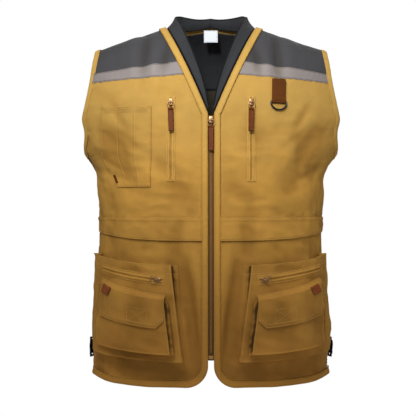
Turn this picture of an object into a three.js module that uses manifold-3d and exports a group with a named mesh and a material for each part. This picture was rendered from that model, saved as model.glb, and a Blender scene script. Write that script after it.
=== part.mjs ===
// A sleeveless utility work vest in canvas, holding the form that a torso gives it.
// Lengths are in millimetres and angles in degrees. +Z is up, the front faces -Y, and the wearer's left is +X.
// The origin lies midway between the shoulders, at the height where the shoulder seams meet the collar.
import * as THREE from "three";
import { mergeVertices } from "three/addons/utils/BufferGeometryUtils.js";
import Module from "manifold-3d";

const wasm = await Module();
wasm.setup();

// Driving dimensions of the body
const BODY_LENGTH = 696; // from the origin down to the front hem
const CHEST_DROP = 180; // from the origin down to the foot of the V neck
const HALF_CHEST = 222; // half the width of the body just below the armholes
const FRONT_DEPTH = 130; // from the side seam forward to the front
const BACK_DEPTH = 112; // from the side seam back to the shoulder blades
const SHOULDER_HALF = 227; // half the width across the shoulder tips
const RIDGE_TOP = 26.5; // height that the shoulder line would reach at the middle of the neck
const SHOULDER_FALL = 74; // from there down to the shoulder tip
const SHOULDER_RADIUS = 150; // radius that turns a length on the cloth into an angle over the shoulder
const NECK_HALF = 88.6; // half the width of the neck opening at the shoulders
const NECK_BACK = 48; // depth of the neck opening behind the shoulder line
const ARMPIT_DROP = 252; // from the origin down to the bottom of the armhole
const ARMHOLE_TURN = 37; // angle that the armhole's front edge keeps from the side seam
const WAIST_DROP = 377; // from the origin down to the seam under the waist flap
const BACK_RISE = 20; // rise of the hem at the middle of the back
const SIDE_RISE = 14; // the hem is this much higher at the side seams
const HEM_RADIUS = 42; // rounded corner where the hem meets the front edge

// Cloth, seams and trims
const CLOTH = 1.6; // wall of the canvas panels
const SEAM = 0.4; // between two pieces sewn edge to edge
const LAYER = 0.8; // between two pieces sewn one on the other
const BAND_WIDTH = 12.5; // facing band along the neck, the front edges and the hem
const FRONT_GAP = 7.5; // from the middle to each front edge, where the zip shows
const BINDING_WIDTH = 9.5; // binding of the armholes
const STRIPE_WIDTH = 25; // grey tape under the yokes
const STRIPE_DROP = 100; // from the origin down to the tape's lower edge, at the middle
const STRIPE_SLOPE = 0.078; // fall of the tape for each millimetre out from the middle
const COLLAR_THICK = 2.4; // ribbed collar
const LINING_EDGE = 3; // from the collar seam down to the lining
const LINING_HALF = 105; // half the width of the lining's neckline

// Waist flap
const FLAP_HEIGHT = 43;
const FLAP_SIDE_RISE = 16; // its lower edge is this much higher at the side seams
const FLAP_THICK = 1.4;
const FLAP_STAND = 3; // its free lower edge stands this far off the panel

// Zips
const TAPE_THICK = 1;
const COIL_WIDTH = 4.4;
const COIL_THICK = 1.2;
const ZIP_DROP = 634; // from the origin down to the bottom of the front zip
const CHEST_ZIP_X = 76;
const CHEST_ZIP_DROP = 150; // from the origin down to the top of the chest zips
const CHEST_ZIP_LENGTH = 154;
const WELT_WIDTH = 16;
const WELT_SLIT = 2.4;
const WELT_THICK = 1.2;

// Chest pocket on the wearer's right
const CHEST_POCKET_NEAR = 113; // its inner edge, from the middle
const CHEST_POCKET_FAR = 211; // its outer edge at the top, from the middle
const CHEST_POCKET_TOP = 164; // drop of its top edge
const CHEST_POCKET_BOTTOM = 318; // drop of its lower edge
const CHEST_POCKET_CUT = 60; // height of its slanted corner
const CHEST_POCKET_CUT_WIDTH = 33; // width of its slanted corner
const CHEST_POCKET_THICK = 1.2;
const POCKET_TAG = { width: 4, length: 17, thick: 1.2 };

// Ring and its strap on the wearer's left
const STRAP_X = 126;
const STRAP_WIDTH = 25.4;
const STRAP_TOP = 112; // drop of the strap's top edge
const STRAP_LENGTH = 48;
const STRAP_THICK = 1.3; // one of its two layers
const RING_WIRE = 3;
const RING_DEPTH = 17; // from the ring's bar down to the outside of its bow

// Cargo pockets
const CARGO = {
  top: 466, // drop of the top edge at its inner end
  bottom: 646, // drop of the lower edge at its inner end
  nearTop: 73, // inner edge of the face, from the middle
  nearBottom: 51,
  gusset: 11, // the gusset meets the panel this much nearer the middle, at the top
  far: 73, // angle of the outer edge
  topRise: 20, // the top edge is this much higher at its outer end
  bottomRise: 14,
  stand: 19, // the face stands this far off the panel at its inner edge
  gape: 13, // the outer top corner stands this far off the panel
  wall: 1.6,
};
const POUCH = {
  top: 534,
  bottom: 631,
  nearTop: 83,
  nearBottom: 71,
  far: 62,
  topRise: 30,
  bottomRise: 14,
  stand: 13, // the pouch stands this far off the cargo pocket's face
  wall: 1.5,
};
const FLAP = {
  top: 521,
  bottom: 583,
  near: 82,
  far: 61,
  topRise: 30,
  bottomRise: 13,
  corner: 15, // cut corners
  thick: 1.6,
};
const POCKET_ZIP = { drop: 494, near: 87, far: 197, rise: 25, width: 7 };
const POCKET_LABEL = { x: 182, drop: 514, side: 17, thick: 1.2, turn: 24 };

// Side adjusters
const SIDE_STRAP = { drop: 635, width: 30, from: 89, to: 128, thick: 1.4, stand: 6 };
const BUCKLE = { at: 100, width: 38, height: 28, bar: 4, thick: 3.4 };

// Neck label
const LABEL_WIDTH = 28;
const LABEL_HEIGHT = 26;
const LABEL_THICK = 0.5;

// Colours
const OCHRE = { color: 0xb5832f, roughness: 0.9, metalness: 0 };
const GREY = { color: 0x3f3f45, roughness: 0.9, metalness: 0 };
const TAPE_GREY = { color: 0x8c8583, roughness: 0.6, metalness: 0 };
const LINING = { color: 0x1d1e20, roughness: 0.95, metalness: 0 };
const BROWN = { color: 0x733c1e, roughness: 0.7, metalness: 0 };
const ZIP_TAPE = { color: 0x7c5a2c, roughness: 0.8, metalness: 0 };
const BRASS = { color: 0xd9b07c, roughness: 0.35, metalness: 1 };
const GUNMETAL = { color: 0x3a3f45, roughness: 0.3, metalness: 1 };
const NAVY = { color: 0x1c2433, roughness: 0.8, metalness: 0 };
const WHITE = { color: 0xf2f4f7, roughness: 0.7, metalness: 0 };

// The form, one row for each level: -1 is the hem, 0 the foot of the V neck and 1 the shoulder line.
// Width, front and back are shares of HALF_CHEST, FRONT_DEPTH and BACK_DEPTH.
const SECTIONS = [
  { level: -1.0, width: 1.04, front: 1.06, back: 1.09 },
  { level: -0.74, width: 1.035, front: 1.05, back: 1.0 },
  { level: -0.48, width: 0.99, front: 1.01, back: 0.93 },
  { level: -0.29, width: 1.0, front: 1.0, back: 0.96 },
  { level: -0.217, width: 1.01, front: 1.0, back: 1.0 },
  { level: -0.159, width: 1.085, front: 0.99, back: 1.04 },
  { level: -0.122, width: 1.145, front: 0.98, back: 1.05 },
  { level: -0.068, width: 1.205, front: 0.96, back: 1.06 },
  { level: 0.0, width: 1.26, front: 0.93, back: 1.06 },
  { level: 1.0, width: 1.28, front: 0.85, back: 0.98 },
];
const FLATNESS = 0.8; // under 1 the front and back are flatter than an ellipse

// Folds and dents of the front. across is a share of HALF_CHEST and drop a share of BODY_LENGTH, at the middle
// of the fold. long and wide are shares of BODY_LENGTH, deep is a share of FRONT_DEPTH, and turn is from upright.
const FOLDS = [
  { across: 0.58, drop: 0.09, long: 0.07, wide: 0.017, deep: -0.035, turn: 4 },
  { across: 0.68, drop: 0.1, long: 0.08, wide: 0.022, deep: 0.02, turn: 0 },
  { across: 0.4, drop: 0.1, long: 0.06, wide: 0.014, deep: -0.025, turn: 10 },
  { across: 0.49, drop: 0.12, long: 0.05, wide: 0.018, deep: 0.022, turn: 6 },
  { across: 0.82, drop: 0.35, long: 0.07, wide: 0.03, deep: -0.055, turn: -38 },
  { across: 0.6, drop: 0.4, long: 0.06, wide: 0.035, deep: 0.03, turn: -50 },
  { across: 0.3, drop: 0.48, long: 0.05, wide: 0.03, deep: -0.02, turn: 60 },
  { across: 0.19, drop: 0.8, long: 0.12, wide: 0.022, deep: -0.06, turn: -6 },
  { across: 0.13, drop: 0.68, long: 0.1, wide: 0.02, deep: 0.025, turn: -12 },
  { across: 0.5, drop: 0.96, long: 0.03, wide: 0.1, deep: -0.035, turn: 0 },
];

const QUARTER = 90;
const HALF_TURN = 180;
const FULL_TURN = 360;
const SHOULDER_CLIMB = (SHOULDER_RADIUS * Math.PI) / 2; // length on the cloth from the chest up to the shoulder
const LOWER_LENGTH = BODY_LENGTH - CHEST_DROP;
const { lerp, clamp, smoothstep, degToRad, radToDeg } = THREE.MathUtils;

const sinOf = (degrees) => Math.sin(degToRad(degrees));
const cosOf = (degrees) => Math.cos(degToRad(degrees));

// One column of a table at a level, on a smooth curve through its rows
function columnAt(rows, column, level) {
  const at = clamp(level, rows[0].level, rows.at(-1).level);
  const i = Math.min(rows.findIndex((row) => at <= row.level) || 1, rows.length - 1);
  const slope = (k) => {
    const a = rows[Math.max(k - 1, 0)];
    const b = rows[Math.min(k + 1, rows.length - 1)];
    return (b[column] - a[column]) / (b.level - a.level);
  };
  const low = rows[i - 1];
  const high = rows[i];
  const span = high.level - low.level;
  const t = (at - low.level) / span;
  const bend = t * t * (3 - 2 * t);
  const ease = span * t * (1 - t) * ((1 - t) * slope(i - 1) - t * slope(i));
  return lerp(low[column], high[column], bend) + ease;
}

// The form is reached by two coordinates. around is the angle from the front middle by the wearer's left side.
// climb is the length on the cloth above the foot of the V neck, negative below it.
const levelOf = (climb) => climb / (climb < 0 ? LOWER_LENGTH : SHOULDER_CLIMB);
const leanOf = (climb) => radToDeg(Math.max(climb, 0) / SHOULDER_RADIUS);
const halfWidth = (climb) => HALF_CHEST * columnAt(SECTIONS, "width", levelOf(climb));
const frontDepth = (climb) => FRONT_DEPTH * columnAt(SECTIONS, "front", levelOf(climb));
const backDepth = (climb) => BACK_DEPTH * columnAt(SECTIONS, "back", levelOf(climb));
const aroundAt = (x, climb) => radToDeg(Math.asin(clamp(x / halfWidth(climb), -1, 1)));
const climbOfDrop = (drop) => CHEST_DROP - drop;

// Height of the shoulder line above an angle
function ridgeHeight(around) {
  const x = Math.abs(halfWidth(SHOULDER_CLIMB) * sinOf(around));
  return RIDGE_TOP - (SHOULDER_FALL * x) / SHOULDER_HALF;
}

// Height of a point of the form
function heightAt(around, climb) {
  if (climb < 0) return climb - CHEST_DROP;
  return (ridgeHeight(around) + CHEST_DROP) * sinOf(leanOf(climb)) - CHEST_DROP;
}

// The climb at which the form has a height
function climbAt(around, z) {
  if (z < -CHEST_DROP) return z + CHEST_DROP;
  const share = (z + CHEST_DROP) / (ridgeHeight(around) + CHEST_DROP);
  return SHOULDER_RADIUS * Math.asin(clamp(share, 0, 1));
}

// A point of the smooth form
function formPoint(around, climb) {
  const c = cosOf(around);
  const depth = c > 0 ? frontDepth(climb) : backDepth(climb);
  return new THREE.Vector3(
    halfWidth(climb) * sinOf(around),
    -Math.sign(c) * depth * Math.abs(c) ** FLATNESS * cosOf(leanOf(climb)),
    heightAt(around, climb),
  );
}

// The outward normal of the smooth form
function formNormal(around, climb) {
  const turn = 0.5;
  const rise = 1;
  const across = formPoint(around + turn, climb).sub(formPoint(around - turn, climb));
  const up = formPoint(around, climb + rise).sub(formPoint(around, climb - rise));
  return across.cross(up).normalize();
}

// How far the folds move the cloth outwards. They are the same on both sides, and the back has none.
function foldLift(around, climb) {
  if (cosOf(around) <= 0) return 0;
  const x = Math.abs(halfWidth(climb) * sinOf(around));
  const z = heightAt(around, climb);
  let lift = 0;
  for (const fold of FOLDS) {
    const dx = x - fold.across * HALF_CHEST;
    const dz = z + fold.drop * BODY_LENGTH;
    const along = dz * cosOf(fold.turn) - dx * sinOf(fold.turn);
    const aside = dx * cosOf(fold.turn) + dz * sinOf(fold.turn);
    const far = (along / (fold.long * BODY_LENGTH)) ** 2 + (aside / (fold.wide * BODY_LENGTH)) ** 2;
    lift += fold.deep * FRONT_DEPTH * Math.exp(-far);
  }
  return lift * smoothstep(cosOf(around), 0, 0.3);
}

// A point of the cloth, lifted off it along the normal
function clothPoint({ around, climb }, lift) {
  const out = formNormal(around, climb);
  return formPoint(around, climb).addScaledVector(out, lift + foldLift(around, climb));
}

// The place of the front at a distance from the middle and a height
function spot(x, z) {
  const rounds = 4;
  let climb = z + CHEST_DROP;
  let around = aroundAt(x, climb);
  for (let i = 0; i < rounds; i += 1) {
    climb = climbAt(around, z);
    around = aroundAt(x, climb);
  }
  return { around, climb };
}

// A frame that stands on the cloth: x runs across it, y up and z out of it
function frameOn({ around, climb }, lift, turn = 0) {
  const reach = 1.5;
  const step = 5;
  const at = clothPoint({ around, climb }, lift);
  const ahead = clothPoint({ around: around + reach, climb }, lift);
  const behind = clothPoint({ around: around - reach, climb }, lift);
  const above = clothPoint({ around, climb: climb + step }, lift);
  const below = clothPoint({ around, climb: climb - step }, lift);
  const across = ahead.sub(behind).normalize();
  const out = across.clone().cross(above.sub(below)).normalize();
  const up = out.clone().cross(across);
  const frame = new THREE.Matrix4().makeBasis(across, up, out).setPosition(at);
  return frame.multiply(new THREE.Matrix4().makeRotationZ(degToRad(turn)));
}

// Lays a flat shape on the front: its x runs across, its y up and its z out of the cloth
function wrapOn(geometry, { x, drop, turn = 0 }, lift) {
  const laid = geometry.clone();
  const position = laid.attributes.position;
  for (let i = 0; i < position.count; i += 1) {
    const px = position.getX(i);
    const py = position.getY(i);
    const at = spot(
      x + px * cosOf(turn) - py * sinOf(turn),
      -drop + px * sinOf(turn) + py * cosOf(turn),
    );
    position.setXYZ(i, ...clothPoint(at, lift(at) + position.getZ(i)).toArray());
  }
  laid.computeVertexNormals();
  return laid;
}

// Pieces
const vest = new THREE.Group();

function addPiece(name, geometry, look, parent = vest) {
  const mesh = new THREE.Mesh(geometry, new THREE.MeshStandardMaterial(look));
  mesh.name = name;
  parent.add(mesh);
  return mesh;
}

// A box whose vertices are moved by a function of their place, from 0 to 1 on each axis
function bentBox(cols, rows, place, layers = 1) {
  const box = new THREE.BoxGeometry(1, 1, 1, cols, rows, layers);
  const position = box.attributes.position;
  for (let i = 0; i < position.count; i += 1) {
    const u = position.getX(i) + 0.5;
    const v = position.getY(i) + 0.5;
    const w = position.getZ(i) + 0.5;
    position.setXYZ(i, ...place(u, v, w).toArray());
  }
  box.computeVertexNormals();
  return box;
}

// Places inside four edges: from and to give around at a climb, bottom and top give climb at an around
function between({ from, to, bottom, top }) {
  const rounds = 5;
  return (u, v) => {
    let climb = lerp(bottom(from(0)), top(from(0)), v);
    let around = from(climb);
    for (let i = 0; i < rounds; i += 1) {
      around = lerp(from(climb), to(climb), u);
      climb = lerp(bottom(around), top(around), v);
    }
    return { around, climb };
  };
}

// Even steps from 0 to 1
const evenly = (count) => Array.from({ length: count + 1 }, (_, i) => i / count);

// A cloth wall between four edges, with its columns and rows at the given shares.
// lift is the height of its outer face above the form's surface.
function clothWall(us, vs, edges, { lift = () => 0, thick = CLOTH } = {}) {
  const place = between(edges);
  const cols = us.length - 1;
  const rows = vs.length - 1;
  return bentBox(cols, rows, (u, v, w) => {
    const at = place(us[Math.round(u * cols)], vs[Math.round(v * rows)]);
    return clothPoint(at, lift(at) - thick * (1 - w));
  });
}

function addPair(name, geometry, look) {
  addPiece(`${name}_left`, geometry, look);
  addPiece(`${name}_right`, mirrored(geometry), look);
}

// Booleans
function toSolid(geometry) {
  const bare = new THREE.BufferGeometry();
  bare.setAttribute("position", geometry.attributes.position.clone());
  bare.setIndex(geometry.index ? geometry.index.clone() : null);
  const merged = mergeVertices(bare, 1e-3);
  const mesh = new wasm.Mesh({
    numProp: 3,
    vertProperties: new Float32Array(merged.attributes.position.array),
    triVerts: new Uint32Array(merged.index.array),
  });
  return new wasm.Manifold(mesh);
}

function toGeometry(solid) {
  const mesh = solid.getMesh();
  const geometry = new THREE.BufferGeometry();
  geometry.setAttribute("position", new THREE.BufferAttribute(mesh.vertProperties, 3));
  geometry.setIndex(new THREE.BufferAttribute(mesh.triVerts, 1));
  geometry.computeVertexNormals();
  return geometry;
}

const cutFrom = (whole, hole) => toGeometry(toSolid(whole).subtract(toSolid(hole)));
const joined = (first, second) => toGeometry(toSolid(first).add(toSolid(second)));

// The same piece for the wearer's other side
const mirrored = (geometry) => toGeometry(toSolid(geometry).mirror([1, 0, 0]));

// Edges of the front, each moved into the cloth by an inset
const neckSlant = Math.atan((NECK_HALF - FRONT_GAP) / CHEST_DROP);

function frontEdgeX(climb, inset) {
  const straight = FRONT_GAP + inset;
  const slanted = FRONT_GAP + (NECK_HALF - FRONT_GAP) * sinOf(leanOf(climb)) + inset / Math.cos(neckSlant);
  return climb < 0 ? straight : Math.max(straight, slanted);
}

const frontEdge = (inset) => (climb) => aroundAt(frontEdgeX(climb, inset), climb);

// The hem, with a rounded corner at the front edge
function hemClimb(around, inset) {
  const rise = SIDE_RISE * sinOf(around) ** 6;
  const base = climbOfDrop(BODY_LENGTH) + rise;
  const x = Math.abs(halfWidth(base) * sinOf(around));
  const toArc = FRONT_GAP + HEM_RADIUS - x;
  if (cosOf(around) < 0) return base + BACK_RISE * cosOf(around) ** 2 + inset;
  if (toArc <= 0) return base + inset;
  const radius = HEM_RADIUS - inset;
  return base + HEM_RADIUS - Math.sqrt(Math.max(radius ** 2 - toArc ** 2, 0));
}

// The armhole's front edge, from the armpit up to the shoulder tip
function armholeEdge(climb, inset) {
  const perDegree = 3.3;
  const low = climbOfDrop(ARMPIT_DROP) - inset;
  const share = clamp((climb - low) / (SHOULDER_CLIMB - low), 0, 1);
  const reach = (1 - (1 - share) ** 2.6) ** 0.42;
  return QUARTER - (ARMHOLE_TURN + inset / perDegree) * reach;
}

const seamAngle = radToDeg((SEAM / 2 / FRONT_DEPTH) ** (1 / FLATNESS));
const sideEdge = (inset) => (climb) => Math.min(armholeEdge(climb, inset), QUARTER - seamAngle);
const stripeFoot = (around) => {
  const x = Math.abs(halfWidth(0) * sinOf(around));
  const fall = cosOf(around) > 0 ? x : x ** 2 / HALF_CHEST;
  return climbAt(around, -STRIPE_DROP - STRIPE_SLOPE * fall);
};
const waistClimb = climbOfDrop(WAIST_DROP);
const bandInset = BAND_WIDTH + SEAM * 1.5;
const bindingInset = BINDING_WIDTH + SEAM * 1.8;

// Front panels, tape and yoke
const armStations = { steps: 12, ease: 1.7 };
const armShare = (i) => (i / armStations.steps) ** armStations.ease;
const armClimb = (i, inset) => lerp(climbOfDrop(ARMPIT_DROP) - inset, SHOULDER_CLIMB, armShare(i));

// Rows of the panels under the tape, which meet the binding at its own stations
function panelRows(bottomClimb, belowArmpit, turned = (around) => around) {
  const low = armClimb(0, bindingInset);
  const rows = belowArmpit.map((share) => {
    const top = stripeFoot(turned(QUARTER - seamAngle)) - SEAM;
    return (share * (low - bottomClimb)) / (top - bottomClimb);
  });
  for (let i = 1; i < armStations.steps; i += 1) {
    const climb = armClimb(i, bindingInset);
    const top = stripeFoot(turned(armholeEdge(climb, bindingInset))) - SEAM;
    const share = (climb - bottomClimb) / (top - bottomClimb);
    if (share < 0.96) rows.push(share);
  }
  return [...rows, 1];
}

function addFronts() {
  const from = frontEdge(bandInset);
  const to = sideEdge(bindingInset);
  const lower = { from, to, bottom: (a) => hemClimb(a, bandInset), top: () => waistClimb - SEAM };
  const upper = { from, to, bottom: () => waistClimb, top: (a) => stripeFoot(a) - SEAM };
  const tape = { from, to, bottom: stripeFoot, top: (a) => stripeFoot(a) + STRIPE_WIDTH };
  const yoke = {
    from,
    to,
    bottom: (a) => stripeFoot(a) + STRIPE_WIDTH + SEAM,
    top: () => SHOULDER_CLIMB - SEAM / 2,
  };
  const cornerStart = 0.1;
  const lowerCols = [0, 0.03, 0.06, cornerStart, ...evenly(8).slice(1).map((s) => lerp(cornerStart, 1, s))];
  addPair("front_lower", clothWall(lowerCols, evenly(9), lower), OCHRE);
  addPair("front_upper", clothWall(evenly(9), panelRows(waistClimb, [0, 0.42, 0.78, 1]), upper), OCHRE);
  addPair("front_tape", clothWall(evenly(9), evenly(1), tape), TAPE_GREY);
  addPair("front_yoke", clothWall(evenly(9), evenly(5), yoke), GREY);
}

// The back, whose form and armholes mirror the front's
function addBack() {
  const from = (climb) => HALF_TURN - sideEdge(bindingInset)(climb);
  const to = (climb) => HALF_TURN + sideEdge(bindingInset)(climb);
  const panel = { from, to, bottom: (a) => hemClimb(a, 0), top: (a) => stripeFoot(a) - SEAM };
  const tape = { from, to, bottom: stripeFoot, top: (a) => stripeFoot(a) + STRIPE_WIDTH };
  const yoke = {
    from,
    to,
    bottom: (a) => stripeFoot(a) + STRIPE_WIDTH + SEAM,
    top: () => SHOULDER_CLIMB - SEAM / 2,
  };
  const beyond = (side) => (inset) => {
    const { around, climb } = backNeckPlace(side * QUARTER, inset);
    return { around, climb: climb + 10 };
  };
  const aroundNeck = [beyond(-1), ...neckStations(), beyond(1)];
  const sizes = { lift: 5, start: -NECK_BACK, rows: 4, layers: 6 };
  const hole = strip(aroundNeck, NECK_BACK + bandInset, 12, sizes);
  const whole = clothWall(evenly(16), evenly(5), yoke);
  const rows = panelRows(hemClimb(HALF_TURN, 0), [0, 0.22, 0.43, 0.62, 0.8, 0.93, 1], (a) => HALF_TURN - a);
  addPiece("back_panel", clothWall(evenly(16), rows, panel), OCHRE);
  addPiece("back_tape", clothWall(evenly(16), evenly(1), tape), TAPE_GREY);
  addPiece("back_yoke", cutFrom(whole, hole), GREY);
}

// Stations of the front band: down the V, down the front edge, round the corner and along the hem
function bandStations() {
  const counts = { neck: 9, edge: 11, corner: 5, hem: 10 };
  const cornerClimb = climbOfDrop(BODY_LENGTH) + HEM_RADIUS;
  const stations = [];
  for (let i = 0; i < counts.neck; i += 1) {
    const climb = (SHOULDER_CLIMB - SEAM / 2) * (1 - i / counts.neck);
    stations.push((inset) => ({ around: frontEdge(inset)(climb), climb }));
  }
  for (let i = 0; i < counts.edge; i += 1) {
    const climb = (cornerClimb * i) / counts.edge;
    stations.push((inset) => ({ around: aroundAt(FRONT_GAP + inset, climb), climb }));
  }
  for (let i = 0; i < counts.corner; i += 1) {
    const turn = (QUARTER * i) / counts.corner;
    stations.push((inset) => {
      const radius = HEM_RADIUS - inset;
      const climb = cornerClimb - radius * sinOf(turn);
      return { around: aroundAt(FRONT_GAP + HEM_RADIUS - radius * cosOf(turn), climb), climb };
    });
  }
  const first = aroundAt(FRONT_GAP + HEM_RADIUS, climbOfDrop(BODY_LENGTH));
  for (let i = 0; i <= counts.hem; i += 1) {
    const around = lerp(first, QUARTER - seamAngle, i / counts.hem);
    stations.push((inset) => ({ around, climb: hemClimb(around, inset) }));
  }
  return stations;
}

// A strip that follows stations, each of which gives a place at an inset from the edge
function strip(stations, width, thick, { lift = 0, start = 0, rows = 1, layers = 1 } = {}) {
  const count = stations.length - 1;
  const place = (u, v, w) => {
    const at = stations[Math.round(u * count)](start + width * v);
    return clothPoint(at, lift - thick * (1 - w));
  };
  return bentBox(count, rows, place, layers);
}

// A place of the back neckline. turn is 0 at the middle of the back and 90 at a shoulder.
function backNeckPlace(turn, inset) {
  const x = (NECK_HALF + inset / Math.cos(neckSlant)) * sinOf(turn);
  const y = (NECK_BACK + inset) * cosOf(turn);
  const around = HALF_TURN - radToDeg(Math.asin(clamp(x / halfWidth(SHOULDER_CLIMB), -1, 1)));
  const reach = backDepth(SHOULDER_CLIMB) * Math.abs(cosOf(around)) ** FLATNESS;
  return { around, climb: SHOULDER_RADIUS * Math.acos(clamp(y / reach, -1, 1)) };
}

// Stations of the back neckline, from the wearer's right shoulder to the left one
function neckStations() {
  const steps = 7;
  const reach = QUARTER - radToDeg(SEAM / 2 / NECK_BACK);
  const stations = [];
  for (let i = -steps; i <= steps; i += 1) {
    const turn = (reach * i) / steps;
    stations.push((inset) => backNeckPlace(turn, inset));
  }
  return stations;
}

function addBands() {
  const thick = CLOTH * 1.3;
  addPair("front_band", strip(bandStations(), BAND_WIDTH, thick), OCHRE);
  addPiece("back_neck_band", strip(neckStations(), BAND_WIDTH, thick), OCHRE);
}

// Binding of an armhole, from the armpit up the front, over the shoulder tip and down the back
function addBindings() {
  const { steps } = armStations;
  const stations = [];
  for (let i = -steps; i <= steps; i += 1) {
    stations.push((inset) => {
      const climb = armClimb(steps - Math.abs(i), inset);
      const front = Math.min(armholeEdge(climb, inset), QUARTER - seamAngle);
      return { around: i < 0 ? front : HALF_TURN - front, climb };
    });
  }
  addPair("armhole_binding", strip(stations, BINDING_WIDTH, CLOTH * 1.4), OCHRE);
}

// The collar, a ribbed band that stands up from the neckline. at is 0 at the middle of the back, 1 at a
// shoulder and 2 at the foot of the V. inward, back and up lead from the seam to the free edge, and are
// shares of the collar's width.
const COLLAR_WIDTH = 27;
const COLLAR_ROWS = [
  { level: 0, inward: 0, back: -0.3, up: 0.68 },
  { level: 0.6, inward: 0.42, back: -0.2, up: 0.98 },
  { level: 1, inward: 0.6, back: 0, up: 0.87 },
  { level: 1.3, inward: 0.63, back: 0.05, up: 0.92 },
  { level: 1.6, inward: 0.58, back: 0.08, up: 0.72 },
  { level: 1.85, inward: 0.36, back: 0.06, up: 0.6 },
  { level: 2, inward: 0.02, back: 0.04, up: 0.42 },
];

function collarSeam(at) {
  const side = Math.sign(at) || 1;
  const far = Math.abs(at);
  const inset = -SEAM / 2 - COLLAR_THICK / 2;
  if (far <= 1) return backNeckPlace(QUARTER * at, inset);
  const climb = SHOULDER_CLIMB * (2 - far);
  return { around: side * frontEdge(inset)(climb), climb };
}

function collarPoint(at, share, lift) {
  const side = Math.sign(at);
  const step = 0.02;
  const rib = (t) => {
    const far = Math.abs(t);
    const seam = clothPoint(collarSeam(t), -CLOTH / 2);
    const lean = (column) => COLLAR_WIDTH * columnAt(COLLAR_ROWS, column, far);
    const offset = new THREE.Vector3(-side * lean("inward"), lean("back"), lean("up"));
    return { seam, offset };
  };
  const here = rib(at);
  const ahead = rib(at + step);
  const behind = rib(at - step);
  const point = here.seam.clone().addScaledVector(here.offset, share);
  const along = ahead.seam.addScaledVector(ahead.offset, share).sub(behind.seam.addScaledVector(behind.offset, share));
  const out = along.cross(here.offset).normalize();
  return point.addScaledVector(out, lift);
}

function addCollar() {
  const half = 14;
  const rows = 2;
  const swell = 2;
  const geometry = bentBox(half * 2, rows, (u, v, w) => {
    const at = (u - 0.5) * 2 * 1.985;
    return collarPoint(at, v, COLLAR_THICK * (w - 0.5) + swell * sinOf(HALF_TURN * v));
  });
  addPiece("collar", geometry, GREY);
}

// Waist flap, sewn along the waist seam and free along its lower edge
function addWaistFlap() {
  const bottom = (a) => climbOfDrop(WAIST_DROP + FLAP_HEIGHT) + FLAP_SIDE_RISE * sinOf(a) ** 4;
  const edges = {
    from: frontEdge(bandInset),
    to: () => QUARTER - seamAngle,
    bottom,
    top: () => waistClimb - 1,
  };
  const lift = ({ around, climb }) => {
    const share = (climb - bottom(around)) / (waistClimb - bottom(around));
    return LAYER + (FLAP_STAND - LAYER) * (1 - share) * cosOf(around) + FLAP_THICK;
  };
  const wall = clothWall(evenly(12), evenly(2), edges, { lift, thick: FLAP_THICK });
  addPair("waist_flap", wall, OCHRE);
}

// Lining of the back, seen through the neck
function addLining() {
  const half = 44;
  const lining = {
    from: () => HALF_TURN - half,
    to: () => HALF_TURN + half,
    bottom: (a) => climbAt(a, -STRIPE_DROP - 12),
    top: (a) => {
      const x = Math.abs(halfWidth(SHOULDER_CLIMB) * sinOf(a));
      const y = (NECK_BACK + LINING_EDGE) * Math.sqrt(Math.max(1 - (x / LINING_HALF) ** 2, 0.02));
      return SHOULDER_RADIUS * Math.acos(clamp(y / backDepth(SHOULDER_CLIMB), 0, 1));
    },
  };
  const lift = () => -CLOTH * 1.3 - LAYER;
  addPiece("back_lining", clothWall(evenly(10), evenly(5), lining, { lift, thick: 1 }), LINING);
}

function addLabel() {
  const seam = clothPoint(collarSeam(0), -CLOTH);
  const geometry = new THREE.BoxGeometry(LABEL_WIDTH, LABEL_HEIGHT, LABEL_THICK);
  const lean = 14;
  geometry.rotateX(QUARTER * (Math.PI / HALF_TURN) - degToRad(lean));
  geometry.translate(0, seam.y - 8.15, seam.z - LABEL_HEIGHT * 0.44);
  addPiece("neck_label", geometry, WHITE);
}

// A closed ring of wire round a rectangle with rounded corners
function wireRing(width, height, corner, wire) {
  const outline = [];
  const perCorner = 2;
  for (let quarter = 0; quarter < 4; quarter += 1) {
    const right = quarter === 0 || quarter === 3;
    const upper = quarter < 2;
    const x = ((width - wire) / 2 - corner) * (right ? 1 : -1);
    const y = ((height - wire) / 2 - corner) * (upper ? 1 : -1);
    for (let i = 0; i <= perCorner; i += 1) {
      const turn = QUARTER * (quarter + i / perCorner);
      outline.push(new THREE.Vector2(x + corner * cosOf(turn), y + corner * sinOf(turn)));
    }
  }
  return sweepWire(outline, wire);
}

// A wire of round section swept along a closed flat outline
function sweepWire(outline, wire) {
  const sides = 5;
  const count = outline.length;
  const tube = new THREE.TorusGeometry(1, 0.3, sides, count);
  const position = tube.attributes.position;
  for (let i = 0; i <= sides; i += 1) {
    for (let j = 0; j <= count; j += 1) {
      const here = outline[j % count];
      const ahead = outline[(j + 1) % count];
      const behind = outline[(j + count - 1) % count];
      const along = ahead.clone().sub(behind).normalize();
      const aside = new THREE.Vector2(along.y, -along.x);
      const turn = (FULL_TURN * (i % sides)) / sides;
      const reach = (wire / 2) * cosOf(turn);
      position.setXYZ(
        i * (count + 1) + j,
        here.x + aside.x * reach,
        here.y + aside.y * reach,
        (wire / 2) * sinOf(turn),
      );
    }
  }
  tube.computeVertexNormals();
  return tube;
}

// A flat outline in the up and out directions, stretched across by a width
function acrossProfile(shape, width, curveSegments = 6) {
  const geometry = new THREE.ExtrudeGeometry(shape, { depth: width, bevelEnabled: false, curveSegments });
  geometry.translate(0, 0, -width / 2);
  const turn = new THREE.Matrix4().makeBasis(
    new THREE.Vector3(0, 1, 0),
    new THREE.Vector3(0, 0, 1),
    new THREE.Vector3(1, 0, 0),
  );
  return geometry.applyMatrix4(turn);
}

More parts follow.
